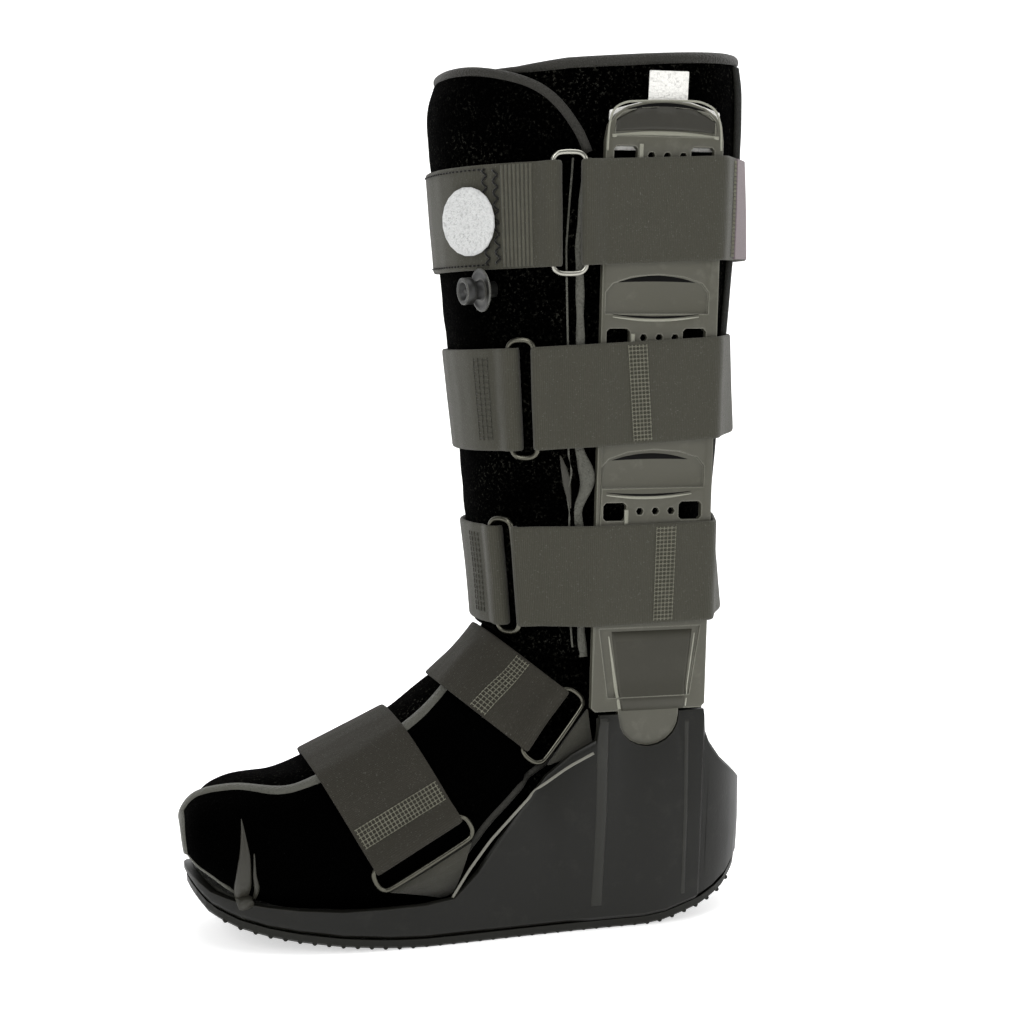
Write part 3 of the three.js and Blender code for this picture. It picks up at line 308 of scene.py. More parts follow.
looks = {
    "strap": webbingMaterial("strapWebbing", (71, 70, 61), 0.35),
    # darker copy of the strap webbing for the upturned foot straps, offsetting the top light: painted shade
    "strapFootShaded": webbingMaterial("footWebbingShaded", (59, 57, 51), 0.3, specular=0.15, sheen=0.02),
    "anchor": webbingMaterial("anchorWebbing", (73, 72, 64), 0.2),
    # sewn end tape: real layer, its pale lilac colour a painted grazing highlight
    "strapEndHighlight": webbingMaterial("strapEndTapeHighlight", (132, 120, 123), 0.2),
    "stitch": webbingMaterial("stitchThread", (136, 135, 118), 0.2),
    "cord": webbingMaterial("ribbedCord", (92, 91, 80), 0.2),
    "stitchDark": webbingMaterial("stitchThreadDark", (26, 26, 22), 0.1),
    "pile": pileMaterial("blackPile", (1, 1, 1), (84, 84, 76), 0.5,
                         specular=0.01, sheen=0.0, roughness=1.0),
    "cloth": pileMaterial("blackCloth", (1, 1, 1), (46, 46, 40), 0.08, specular=0.01, sheen=0.0),
    # light grey colour of the black cloth's folds: painted highlight where the folds catch the light
    "foldHighlight": mouldedMaterial("foldHighlightCloth", (50, 49, 43), (80, 79, 71), 0.05, 500.0, 0.35, 0.00012),
    "stripCloth": pileMaterial("backCloth", (30, 30, 27), (70, 70, 64), 0.3, specular=0.1, sheen=0.0),
    "binding": pileMaterial("bindingTape", (45, 44, 40), (96, 95, 88), 0.3,
                            specular=0.25, roughness=0.6),
    "bindingLight": pileMaterial("lightBindingTape", (80, 80, 73), (120, 119, 110), 0.3,
                                 specular=0.3, roughness=0.5),
    "insole": pileMaterial("insoleFoam", (66, 66, 61), (110, 110, 102), 0.4, specular=0.1),
    "hook": pileMaterial("hookPad", (240, 239, 234), (255, 255, 252), 0.6, specular=0.3),
    "button": pileMaterial("buttonFelt", (202, 203, 202), (242, 242, 242), 0.7, specular=0.3),
    "shell": mouldedMaterial("shellPlastic", (25, 25, 22), (70, 70, 63), 0.3, specular=0.24),
    # lighter band on the shell's ridges: painted highlight on their bevels
    "shellRidgeHighlight": mouldedMaterial("shellRidgeHighlight", (37, 37, 33), (70, 70, 63), 0.0, specular=0.3),
    # pale line under the shell's rim: painted highlight on its edge bevel
    "shellRimHighlight": mouldedMaterial("shellRimHighlight", (104, 103, 94), (150, 149, 140), 0.5, specular=0.5),
    "strut": mouldedMaterial("strutPlastic", (76, 75, 66), (150, 150, 138), 0.7, specular=0.35),
    # darker patch in the recess under the struts' arch top, which faces away from the light: painted shade
    "strutPaintedShade": mouldedMaterial("strutRecessShade", (52, 51, 46), (80, 79, 72), 0.2, specular=0.25),
    "strutPlate": mouldedMaterial("strutPlate", (56, 55, 48), (84, 83, 75), 0.3, specular=0.25),
    "strutShadow": mouldedMaterial("strutShadow", (8, 8, 7), (20, 20, 18), 0.1, specular=0.1),
    # pale strips on the struts' arch rim, brow, ribs, window posts and foot edges: painted highlights
    "strutHighlight": mouldedMaterial("strutEdgeHighlight", (126, 126, 113), (180, 180, 168), 0.5, specular=0.45),
    "rubber": mouldedMaterial("soleRubber", (28, 28, 24), (52, 52, 46), 0.2, 1500.0, 0.2, 0.00012),
    "valve": mouldedMaterial("valvePlastic", (20, 20, 18), (150, 150, 140), 0.8, specular=0.55),
    "steel": steelMaterial("ringSteel", (158, 157, 148), (215, 213, 205)),
    "steelDark": steelMaterial("ringSteelDark", (84, 83, 75), (130, 129, 120)),
}
say("materials")


# mesh tools
def finishPiece(obj, look, nodes=()):
    obj.data.materials.clear()
    obj.data.materials.append(looks[look])
    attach(obj, "root")
    if nodes:
        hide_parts(*nodes)
    return obj


# points in the frame's metres; nodes are the solids that the piece replaces
def newPiece(name, points, faces, look, nodes=(), uvs=None):
    mesh = bpy.data.meshes.new(name)
    mesh.from_pydata([tuple(p) for p in points], [], faces)
    if uvs is not None:
        layer = mesh.uv_layers.new(name="UVMap")
        layer.data.foreach_set("uv", np.array([uvs[v] for f in faces for v in f], float).ravel())
    bm = bmesh.new()
    bm.from_mesh(mesh)
    bmesh.ops.recalc_face_normals(bm, faces=bm.faces)
    bm.to_mesh(mesh)
    bm.free()
    mesh.polygons.foreach_set("use_smooth", [True] * len(mesh.polygons))
    obj = bpy.data.objects.new(name, mesh)
    bpy.context.scene.collection.objects.link(obj)
    return finishPiece(obj, look, nodes)


# closed body from two grids of points, rows by columns; wrapCols joins last column to first
def slab(outer, inner, wrapCols=False):
    rows, cols = outer.shape[:2]
    points = np.concatenate([outer.reshape(-1, 3), inner.reshape(-1, 3)])
    n = rows * cols
    faces = []
    last = cols if wrapCols else cols - 1
    for r in range(rows - 1):
        for c in range(last):
            d = (c + 1) % cols
            a, b, e, f = r * cols + c, r * cols + d, (r + 1) * cols + d, (r + 1) * cols + c
            faces.append((a, b, e, f))
            faces.append((n + a, n + f, n + e, n + b))
    for c in range(last):
        d = (c + 1) % cols
        faces.append((c, n + c, n + d, d))
        a, b = (rows - 1) * cols + c, (rows - 1) * cols + d
        faces.append((a, b, n + b, n + a))
    if not wrapCols:
        for r in range(rows - 1):
            a, b = r * cols, (r + 1) * cols
            faces.append((a, b, n + b, n + a))
            a, b = a + cols - 1, b + cols - 1
            faces.append((a, n + a, n + b, b))
    return points, faces


# tube along a path; flat is its depth along the outward direction as a share of its width
def tubePoints(path, radius, outward=(0, 0, 1), flat=1.0, sides=10, closed=False):
    path = np.asarray(path, float)
    n = len(path)
    ahead = np.roll(path, -1, 0) - np.roll(path, 1, 0)
    if not closed:
        ahead[0], ahead[-1] = path[1] - path[0], path[-1] - path[-2]
    ahead /= np.linalg.norm(ahead, axis=1)[:, None]
    up = np.broadcast_to(np.asarray(outward, float), (n, 3))
    up = up - (up * ahead).sum(1)[:, None] * ahead
    up /= np.linalg.norm(up, axis=1)[:, None] + 1e-12
    side = np.cross(ahead, up)
    radius = np.broadcast_to(radius, n)
    angles = np.linspace(0, 2 * np.pi, sides, endpoint=False)
    rings = [path + up * (radius * flat * math.cos(a))[:, None] + side * (radius * math.sin(a))[:, None]
             for a in angles]
    points = np.stack(rings, 1).reshape(-1, 3)
    faces = []
    count = n if closed else n - 1
    for i in range(count):
        j = (i + 1) % n
        for k in range(sides):
            m = (k + 1) % sides
            faces.append((i * sides + k, i * sides + m, j * sides + m, j * sides + k))
    if not closed:
        faces.append(tuple(range(sides)))
        faces.append(tuple((n - 1) * sides + k for k in reversed(range(sides))))
    return points, faces


def joinParts(parts):
    points, faces, base = [], [], 0
    for p, f in parts:
        points.append(np.asarray(p, float))
        faces += [tuple(i + base for i in face) for face in f]
        base += len(p)
    return np.concatenate(points), faces


# one piece from parts in boot millimetres
def addPiece(name, parts, look, nodes=()):
    points, faces = joinParts(parts)
    return newPiece(name, toFrame(points), faces, look, nodes)


def smoothAlong(values, axis, passes):
    for step in range(passes):
        ahead = np.roll(values, -1, axis)
        back = np.roll(values, 1, axis)
        first = [slice(None)] * values.ndim
        last = [slice(None)] * values.ndim
        first[axis], last[axis] = 0, -1
        blended = 0.25 * ahead + 0.5 * values + 0.25 * back
        blended[tuple(first)] = values[tuple(first)]
        blended[tuple(last)] = values[tuple(last)]
        values = blended
    return values


# liner surface
# the same sections as the part: lower x, z, upper x, z, half width, squareness above, below
sockRows = np.array([
    (-0.7560, 0.0950, -0.7629, 0.1281, 0.1495, 2.0, 2.2),
    (-0.7423, 0.0800, -0.7457, 0.1625, 0.2897, 2.2, 2.8),
    (-0.6976, 0.0630, -0.6976, 0.1762, 0.3645, 2.4, 3.6),
    (-0.6117, 0.0485, -0.6048, 0.1854, 0.4065, 2.5, 4.0),
    (-0.5086, 0.0398, -0.4845, 0.2243, 0.4112, 2.4, 4.0),
    (-0.3849, 0.0334, -0.3711, 0.2609, 0.4019, 2.3, 4.0),
    (-0.2577, 0.0328, -0.2955, 0.3066, 0.3879, 2.3, 3.8),
    (-0.1203, 0.0328, -0.2509, 0.3387, 0.3832, 2.3, 3.4),
    (0.0275, 0.0378, -0.2405, 0.3616, 0.3785, 2.3, 3.0),
    (0.1180, 0.0660, -0.2423, 0.3844, 0.3785, 2.3, 2.6),
    (0.1480, 0.1144, -0.2474, 0.4096, 0.3879, 2.3, 2.4),
    (0.1495, 0.1831, -0.2526, 0.4371, 0.4019, 2.4, 2.4),
    (0.1443, 0.2632, -0.2577, 0.4668, 0.4159, 2.4, 2.4),
    (0.1478, 0.3547, -0.2629, 0.5080, 0.4393, 2.4, 2.4),
    (0.1546, 0.4691, -0.2698, 0.5606, 0.4626, 2.4, 2.4),
    (0.1684, 0.5835, -0.2818, 0.6293, 0.4907, 2.4, 2.4),
    (0.1856, 0.7094, -0.2973, 0.7208, 0.5090, 2.4, 2.4),
    (0.2010, 0.8467, -0.3127, 0.8352, 0.5270, 2.4, 2.4),
    (0.2062, 0.9497, -0.3235, 0.9268, 0.5340, 2.4, 2.4),
    (0.1993, 0.9931, -0.3110, 0.9660, 0.5350, 2.4, 2.4),
    (0.1959, 1.0229, -0.2975, 1.0060, 0.5320, 2.4, 2.4),
])
sockScale = np.array([bootLength, bootHeight, bootLength, bootHeight, soleWidth, 1, 1])
linerTopRow = 19.0


def catmull(rows, t):
    t = np.asarray(t, float)
    i = np.clip(np.floor(t).astype(int), 0, len(rows) - 2)
    f = (t - i)[..., None]
    p1, p2 = rows[i], rows[i + 1]
    p0 = np.where((i > 0)[..., None], rows[np.maximum(i - 1, 0)], 2 * p1 - p2)
    p3 = np.where((i < len(rows) - 2)[..., None], rows[np.minimum(i + 2, len(rows) - 1)], 2 * p2 - p1)
    return 0.5 * (2 * p1 + (p2 - p0) * f + (2 * p0 - 5 * p1 + 4 * p2 - p3) * f ** 2
                  + (-p0 + 3 * p1 - 3 * p2 + p3) * f ** 3)


def sockPoints(v, a, inset=0.0):
    v, a = np.broadcast_arrays(np.asarray(v, float), np.asarray(a, float))
    r = catmull(sockRows, v) * sockScale
    cx, cz = (r[..., 0] + r[..., 2]) / 2, (r[..., 1] + r[..., 3]) / 2
    dx, dz = r[..., 2] - r[..., 0], r[..., 3] - r[..., 1]
    span = np.hypot(dx, dz)
    c, s = np.cos(a), np.sin(a)
    n = np.where(c >= 0, r[..., 5], r[..., 6])
    up = (span / 2 - inset) * np.sign(c) * np.abs(c) ** (2 / n)
    side = (r[..., 4] - inset) * np.sign(s) * np.abs(s) ** (2 / n)
    return np.stack([cx + dx / span * up, -side, cz + dz / span * up], -1)


def sockNormals(v, a):
    v, a = np.broadcast_arrays(np.asarray(v, float), np.asarray(a, float))
    p = sockPoints(v, a + 0.012) - sockPoints(v, a - 0.012)
    q = sockPoints(v + 0.02, a) - sockPoints(v - 0.02, a)
    n = np.cross(p, q)
    n /= np.linalg.norm(n, axis=-1)[..., None] + 1e-12
    r = catmull(sockRows, v) * sockScale
    centre = np.stack([(r[..., 0] + r[..., 2]) / 2, np.zeros(v.shape), (r[..., 1] + r[..., 3]) / 2], -1)
    out = sockPoints(v, a) - centre
    flip = np.sign((n * out).sum(-1))
    return n * np.where(flip == 0, 1, flip)[..., None]


def onSock(v, a, lift):
    lift = np.broadcast_to(np.asarray(lift, float), np.broadcast(v, a).shape)
    return sockPoints(v, a) + sockNormals(v, a) * lift[..., None]


def hump(x, centre, width):
    return np.exp(-((x - centre) / width) ** 2)


# soft wandering waves instead of random noise, so that every run is the same
def waves(p, scale, seed=0.0):
    x, y, z = p[..., 0] / scale, p[..., 1] / scale, p[..., 2] / scale
    return (np.sin(1.7 * x + 2.3 * z + seed) * np.cos(2.1 * y - 1.3 * z + 1.7 * seed)
            + 0.6 * np.sin(3.9 * z - 2.7 * x + 2.1 * seed + 1.3 * np.sin(1.1 * y + seed))
            + 0.4 * np.sin(6.1 * x + 5.3 * y - 4.7 * z + 0.7 * seed)) / 2


linerLook = {"wall": 5.0, "softness": 0.35, "instepSwell": 4.4, "toeSwell": 2.2, "padding": 0.7,
             "rimRadius": 2.3, "rimFree": 0.75, "backStrip": (146, 214), "stripRise": 0.75}


def makeLiner():
    spans = (0.02, 2, 22), (2.1, 8, 50), (8.1, linerTopRow, 90)
    va = np.concatenate([np.linspace(*span) for span in spans])
    aa = np.linspace(0, 2 * np.pi, 144, endpoint=False)
    v, a = np.meshgrid(va, aa, indexing="ij")
    base = sockPoints(v, a)
    lift = -0.35 - linerLook["softness"] * (1 + waves(base, 16, 0.4))
    # padding swells between the foot straps and over the toes
    top = np.exp(-((a + np.pi) % (2 * np.pi) - np.pi) ** 2 / 0.5)
    lift += top * (linerLook["instepSwell"] * hump(v, 5.2, 0.6) + linerLook["toeSwell"] * hump(v, 2.4, 0.9))
    outer = base + sockNormals(v, a) * lift[..., None]
    vi = np.clip(va, 0.8, None)
    v2, a2 = np.meshgrid(vi, aa, indexing="ij")
    inner = sockPoints(v2, a2, linerLook["wall"])
    points, faces = slab(outer, inner, wrapCols=True)
    # the toe end: one face outside, one inside, in place of the strip between them
    cols = len(aa)
    n = outer.shape[0] * cols
    start = 2 * (outer.shape[0] - 1) * cols
    faces = [f for k, f in enumerate(faces) if not (k >= start and (k - start) % 2 == 0)]
    faces.append(tuple(range(cols)))
    faces.append(tuple(n + k for k in reversed(range(cols))))
    liner = addPiece("linerPadded", [(points, faces)], "pile",
                     ["liner_toe", "liner_heel", "liner_leg"])
    # bound rim, all the way round behind the front panel, fuller where it is free
    ar = np.linspace(0, 2 * math.pi, 180, endpoint=False)
    free = np.clip((np.minimum(ar, 2 * math.pi - ar) - math.radians(50)) / math.radians(22), 0, 1)
    vr = np.full_like(ar, linerTopRow)
    path = sockPoints(vr, ar, 2.7 - 0.2 * free) + np.stack([0 * ar, 0 * ar, 0.2 + 1.3 * free], -1)
    radius = linerLook["rimRadius"] + linerLook["rimFree"] * free
    rim = tubePoints(path, radius, sockNormals(vr - 0.3, ar), 1.1, 14, closed=True)
    addPiece("linerRimBinding", [rim], "binding")
    # smooth cloth strip that closes the back, with a seam down each side
    count = 25
    vb = np.linspace(9.6, linerTopRow - 0.12, 90)
    ab = np.radians(np.linspace(*linerLook["backStrip"], count))
    v2, a2 = np.meshgrid(vb, ab, indexing="ij")
    edge = np.minimum(1, np.minimum(np.arange(count), np.arange(count)[::-1]) / 2.0)[None, :]
    lift = 0.15 + linerLook["stripRise"] * edge + 0.12 * waves(sockPoints(v2, a2), 14, 1.0)
    strip = slab(onSock(v2, a2, lift), onSock(v2, a2, -0.5))
    addPiece("linerBackStrip", [strip], "stripCloth")
    return liner


liner = makeLiner()
say("liner")

panelLook = {"wall": 3.6, "gap": 0.9, "edge": 76.0, "bindingRadius": 2.6, "rimSpread": 0.055, "padding": 0.6,
             "strapLevels": (358, 270, 181), "strapDip": 0.5,
             "crumples": ((0.8, 4.1, 0, 226, 26), (0.7, 5.3, 1, 140, 18))}


def panelRange(a):
    edge = math.radians(panelLook["edge"])
    low = 7.25 + 3.1 * (np.abs(a) / edge) ** 2
    high = 19.14 - 1.75 * (np.abs(a) / edge) ** 3.1
    return low, high


# the panel spreads a little wider toward its rim
def panelAngle(v, a):
    return a * (1 + panelLook["rimSpread"] * np.clip((v - 16.5) / 1.1, 0, 1))


def makeFrontPanel():
    edge = math.radians(panelLook["edge"])
    aa = np.linspace(-edge, edge, 120)
    t = np.linspace(0, 1, 150)
    low, high = panelRange(aa)
    v = low[None, :] + t[:, None] * (high - low)[None, :]
    a = panelAngle(v, np.broadcast_to(aa[None, :], v.shape))
    base = sockPoints(v, a)
    z = base[..., 2]
    near = np.clip(a / edge, 0, 1)
    lift = panelLook["gap"] + panelLook["wall"] + 0.25 * waves(base, 13, 2.0)
    # the free near edge crumples between the struts' straps and dips under them
    crumple = hump(near, 1.0, 0.16)
    for height, pitch, turn, level, reach in panelLook["crumples"]:
        lift += crumple * height * np.sin(z / pitch + turn) * hump(z, level, reach)
    for level in panelLook["strapLevels"]:
        lift -= panelLook["strapDip"] * hump(z, level, 26)
    taper = np.minimum(1, np.minimum(t, 1 - t)[:, None] * 60)
    taper = taper * np.minimum(1, (1 - np.abs(aa) / edge)[None, :] * 22)
    outer = base + sockNormals(v, a) * (lift * (0.55 + 0.45 * np.sqrt(np.clip(taper, 0, 1))))[..., None]
    inner = onSock(v, a, panelLook["gap"])
    panel = addPiece("frontPanelPadded", [slab(outer, inner)], "pile", ["front_panel"])
    # binding tape round the top rim, and a flat ribbon with an inner seam down each edge
    over = np.linspace(edge, -edge, 150)
    pv = panelRange(over)[1]
    pa = panelAngle(pv, over)
    mid = onSock(pv, pa, panelLook["gap"] + 1.9)
    binding = tubePoints(mid, panelLook["bindingRadius"], sockNormals(pv, pa), 0.95, 14)
    addPiece("frontPanelBinding", [binding], "binding")
    parts = []
    for side in (1, -1):
        low, high = panelRange(np.array(edge))
        va = np.linspace(float(low), float(high) - 0.05, 150)
        pa = panelAngle(va, np.full_like(va, side * edge))
        mid = onSock(va, pa, panelLook["gap"] + 2.3)
        z = mid[:, 2]
        # the ribbon twists once, between the lower two straps
        mid[:, 0] += hump(z, 228, 9) * 3.2 + hump(z, 212, 6) * -1.6 + hump(z, 246, 6) * -1.2
        mid[:, 1] -= side * hump(z, 228, 12) * 1.6
        width = 1.9 + 1.5 * hump(z, 230, 11) + 0.5 * np.sin(z / 7.0) ** 2
        parts.append(tubePoints(mid, width, sockNormals(va, pa), 0.5, 12))
        inner = onSock(va, pa - side * 0.085, panelLook["gap"] + panelLook["wall"] + 0.05)
        inner[:, 0] += hump(inner[:, 2], 228, 14) * np.sin(inner[:, 2] / 4.0) * 1.2
        parts.append(tubePoints(inner, 0.55, sockNormals(va, pa), 0.9, 6))
    addPiece("frontPanelRibbon", parts, "bindingLight")
    return panel


frontPanel = makeFrontPanel()
say("front panel")

flapLook = {"wall": 3.0, "gap": 0.9, "ribbon": 3.6, "toeReach": 4.6, "padding": 0.6,
            "hollows": ((-206, 2.6), (-190, 3.6))}
flapTop = np.array([(0, 0.25), (1, 0.32), (2, 0.42), (3, 0.72), (4, 0.72), (5, 0.5), (6, 0.34), (7, 0.3)])
flapLower = np.array([(0.3, 1.65), (0.45, 1.7), (0.8, 1.84), (1.0, 1.93), (1.5, 2.08), (2.0, 2.36),
                      (2.3, 2.58), (2.6, 2.62)])
flapRear = np.array([(0, 6.9), (0.35, 7.15), (0.55, 7.0), (0.75, 6.2), (1.0, 5.5)])


# the cloth at the toe hangs forward over the tray
def toeForward(points):
    points = points.copy()
    x, z = points[..., 0], points[..., 2]
    points[..., 0] = x - flapLook["toeReach"] * np.clip((-198 - x) / 20, 0, 1) ** 2 * hump(z, 56, 24)
    return points


def makeFootFlap():
    rows, cols = 170, 96
    t = np.linspace(0, 1, cols)
    u = np.linspace(0, 1, rows)
    rear = np.interp(t, flapRear[:, 0], flapRear[:, 1])
    rear = smoothAlong(rear, 0, 60)
    v = 0.45 + u[:, None] * (rear - 0.45)[None, :]
    start = np.interp(v, flapTop[:, 0], flapTop[:, 1])
    start = smoothAlong(start, 0, 30)
    # the lower edge sweeps up toward the toe and leaves the lining showing over the tray
    stop = np.interp(v, flapLower[:, 0], flapLower[:, 1]) - 0.12 * np.maximum(v - 4, 0)
    a = start + t[None, :] * (stop - start)
    base = sockPoints(v, a)
    lift = flapLook["gap"] + flapLook["wall"] + 0.3 * waves(base, 12, 5.0)
    x, z = base[..., 0], base[..., 2]
    # hollows beside the pleats, and folds that the two foot straps draw in
    for centre, width in flapLook["hollows"]:
        lift -= 1.2 * hump(x, centre + 0.06 * (z - 40), width) * np.clip((66 - z) / 30, 0, 1)
    lift += 0.8 * np.sin((x + 0.7 * z) / 4.6) * hump(x, -92, 16) * hump(z, 70, 30)
    lift += 0.6 * np.sin((x - 0.4 * z) / 5.6) * hump(x, -160, 26) * hump(z, 60, 26)
    lift -= 0.8 * hump(x + 0.56 * z, -88, 13)
    rim = np.minimum(1, np.minimum(t, 1 - t)[None, :] * 26)
    rim = rim * np.minimum(1, np.minimum(u, 1 - u)[:, None] * 40)
    outer = base + sockNormals(v, a) * (lift * (0.5 + 0.5 * np.sqrt(np.clip(rim, 0, 1))))[..., None]
    inner = onSock(v, a, flapLook["gap"])
    flap = addPiece("footFlapPadded", [slab(toeForward(outer), toeForward(inner))], "cloth",
                    ["foot_flap"])
    # light ribbon sewn along the flap's instep edge and round the toe
    pv = np.concatenate([v[::-1, 0], v[0, 1:]])
    pa = np.concatenate([a[::-1, 0], a[0, 1:]])
    mid = smoothAlong(toeForward(onSock(pv, pa, flapLook["gap"] + flapLook["wall"] * 0.62)), 0, 6)
    ribbon = tubePoints(mid, flapLook["ribbon"], sockNormals(pv, pa), 0.6, 12)
    addPiece("footFlapRibbon", [ribbon], "bindingLight")
    # lower edge of the ribbon at the toe, and the grey lining under it
    pv = np.linspace(0.5, 2.5, 50)
    pa = np.interp(pv, flapLower[:, 0], flapLower[:, 1])
    mid = toeForward(onSock(pv, pa, flapLook["gap"] + flapLook["wall"] * 0.7))
    addPiece("toeHem", [tubePoints(mid, 1.15, sockNormals(pv, pa), 0.8, 10)], "bindingLight")
    ga, gt = np.meshgrid(np.linspace(0.25, 2.6, 40), np.linspace(0, 1, 16), indexing="ij")
    low = np.interp(ga, flapLower[:, 0], flapLower[:, 1]) - 0.12
    aa = low + gt * (2.95 - low)
    lining = slab(onSock(ga, aa, 0.75 + 0.9 * np.sin(gt * 3.1)), onSock(ga, aa, 0.2))
    addPiece("toeLining", [lining], "insole")
    return flap


footFlap = makeFootFlap()
say("foot flap")


# straps
def treeOf(*names):
    points, faces, base = [], [], 0
    for name in names:
        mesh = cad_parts[name].data
        points += [v.co.copy() for v in mesh.vertices]
        faces += [tuple(i + base for i in p.vertices) for p in mesh.polygons]
        base = len(points)
    return BVHTree.FromPolygons(points, faces)


# outer surface of the part's strap, sampled by rays; s runs over the width, flare lets it hang free behind
class StrapPath:

    def __init__(self, nodes, up, level, width, centre, span, fine=1.0, flare=0.0):
        size = math.hypot(*up)
        self.up = (up[0] / size, up[1] / size)
        self.along = (self.up[1], -self.up[0])
        self.level, self.width, self.centre, self.flare = level, width, centre, flare
        self.angles = np.radians(np.arange(span[0], span[1] + fine / 2, fine))
        self.shares = np.linspace(-0.5, 0.5, 9)
        tree = treeOf(*nodes)
        reach = np.full((len(self.angles), len(self.shares)), np.nan)
        for i, angle in enumerate(self.angles):
            for j, s in enumerate(self.shares):
                s = max(min(s, 0.49), -0.49)
                o = self.world(s, angle, 0)
                d = self.world(s, angle, 1) - o
                d /= np.linalg.norm(d)
                hit = tree.ray_cast(Vector(o + d * 0.2), Vector(-d), 0.2)
                if hit[0] is not None:
                    reach[i, j] = (0.2 - hit[3]) * 1000
        for j in range(len(self.shares)):
            good = ~np.isnan(reach[:, j])
            reach[:, j] = np.interp(self.angles, self.angles[good], reach[good, j])
        self.reach = smoothAlong(smoothAlong(reach, 0, 5), 1, 1)

    def centreAt(self, s):
        if self.centre[0] == "along":
            return self.centre[1]
        return (self.centre[1] - self.up[0] * (self.level + s * self.width)) / self.along[0]

    def world(self, s, angle, r):
        a, b = self.centreAt(s) + r * np.cos(angle), r * np.sin(angle)
        h = self.level + s * self.width
        x, z = (self.along[k] * a + self.up[k] * h for k in (0, 1))
        return toFrame(np.stack([x, -b, z], -1))

    def at(self, s, angle, lift):
        # points on the strap's outer surface, raised by lift, in the frame's metres
        s, angle, lift = np.broadcast_arrays(*(np.asarray(value, float) for value in (s, angle, lift)))
        fine = self.angles[1] - self.angles[0]
        fi = np.clip((angle - self.angles[0]) / fine, 0, len(self.angles) - 1.001)
        fj = np.clip((s + 0.5) * (len(self.shares) - 1), 0, len(self.shares) - 1.001)
        i, j = fi.astype(int), fj.astype(int)
        u, w = fi - i, fj - j
        g = self.reach
        r = ((1 - u) * (1 - w) * g[i, j] + u * (1 - w) * g[i + 1, j]
             + (1 - u) * w * g[i, j + 1] + u * w * g[i + 1, j + 1]) + lift
        behind = (angle + math.pi) % (2 * math.pi) - math.pi
        return self.world(s, angle, r + self.flare * (0.5 - s) * hump(behind, 0.1, 0.42))

    def outward(self, s, angle):
        out = self.at(s, angle, 1.0) - self.at(s, angle, 0.0)
        return out / np.linalg.norm(out)

    def radius(self, angle):
        return float(np.interp(angle, self.angles, self.reach[:, len(self.shares) // 2]))

    def angleAtX(self, x):
        near = (self.angles > 0.05) & (self.angles < math.pi - 0.05)
        xs = self.at(0.0, self.angles[near], 0.0)[:, 0] * 1000 - strutMiddle * 1000
        order = np.argsort(xs)
        return float(np.interp(x, xs[order], self.angles[near][order]))


strapLook = {"thickness": 2.4, "ringWire": 1.7, "ringGap": 0.35, "step": 1.2, "rollBack": 7.5,
             "rollCentre": 2.05, "rollDrop": 0.35, "rollTurn": 125, "ripple": 0.05}
strapLevels = np.array([-0.5, -0.492, -0.47, -0.4, -0.3, -0.2, -0.1, 0, 0.1, 0.2, 0.3, 0.4, 0.47, 0.492, 0.5])
strapSection = np.array([0.35, 0.75, 0.97] + [1.0] * 9 + [0.97, 0.75, 0.35])


# the strap climbs over the ring's bar and turns down inside the ring: pairs of angle and lift
def rollOver(path, edge, direction):
    t, r, drop = strapLook["thickness"], path.radius(edge), strapLook["rollDrop"]
    turn = strapLook["ringWire"] + t / 2 + 0.15
    pairs = []
    for k in np.linspace(0, 1, 9)[:-1]:
        climb = k * k * (3 - 2 * k)
        along = -strapLook["rollBack"] + k * (strapLook["rollBack"] + strapLook["rollCentre"])
        pairs.append((edge + direction * along / r, -t / 2 + climb * (turn - drop + t / 2)))
    for k in np.linspace(0, 1, 12):
        a = math.radians(90 - strapLook["rollTurn"] * k)
        pairs.append((edge + direction * (strapLook["rollCentre"] + turn * math.cos(a)) / r,
                      -drop + turn * math.sin(a)))
    return pairs


# one band between two angles; it rolls over a ring at the start or at the stop
def strapBand(name, path, start, stop, atStart, look, node):
    t = strapLook["thickness"]
    count = max(8, int(abs(stop - start) / math.radians(strapLook["step"])))
    body = [(a, -t / 2) for a in np.linspace(start, stop, count)]
    trim = strapLook["rollBack"] / path.radius(start if atStart else stop) * 1.1
    if atStart:
        body = rollOver(path, start, -1)[::-1] + [b for b in body if b[0] - start > trim]
    else:
        body = [b for b in body if stop - b[0] > trim] + rollOver(path, stop, 1)
    angles, lifts = np.array(body).T
    mids = path.at(0.0, angles, lifts)
    ahead = np.gradient(mids, axis=0)
    ahead /= np.linalg.norm(ahead, axis=1)[:, None] + 1e-12
    normal = np.cross(ahead, np.array([path.up[0], 0, path.up[1]]))
    normal /= np.linalg.norm(normal, axis=1)[:, None] + 1e-12
    outward = path.at(0.0, angles, lifts + 1) - mids
    middle = len(normal) // 2
    normal *= np.sign((normal[middle] * outward[middle]).sum())
    grid = path.at(strapLevels[None, :], angles[:, None], lifts[:, None])
    half = t / 2 * strapSection[None, :]
    ripple = np.sin(np.arange(len(body)) * 0.9)[:, None] * np.cos(strapLevels * 9)[None, :]
    outer = grid + normal[:, None, :] * ((half + strapLook["ripple"] * ripple) / 1000)[..., None]
    inner = grid - normal[:, None, :] * (half / 1000)[..., None]
    points, faces = slab(outer, inner)
    run = np.concatenate([[0], np.cumsum(np.linalg.norm(np.diff(mids, axis=0), axis=1))])
    uv = np.broadcast_arrays(run[:, None], (strapLevels * path.width / 1000)[None, :])
    newPiece(name, points, faces, look, [node], np.tile(np.stack(uv, -1).reshape(-1, 2), (2, 1)))


stitchLook = {"length": 0.8, "thick": 0.42, "lift": 0.15, "crossRadius": 0.00021, "reach": 0.47,
              "calfPitch": 1.9, "footPitch": 2.0, "footSpread": 1.9}


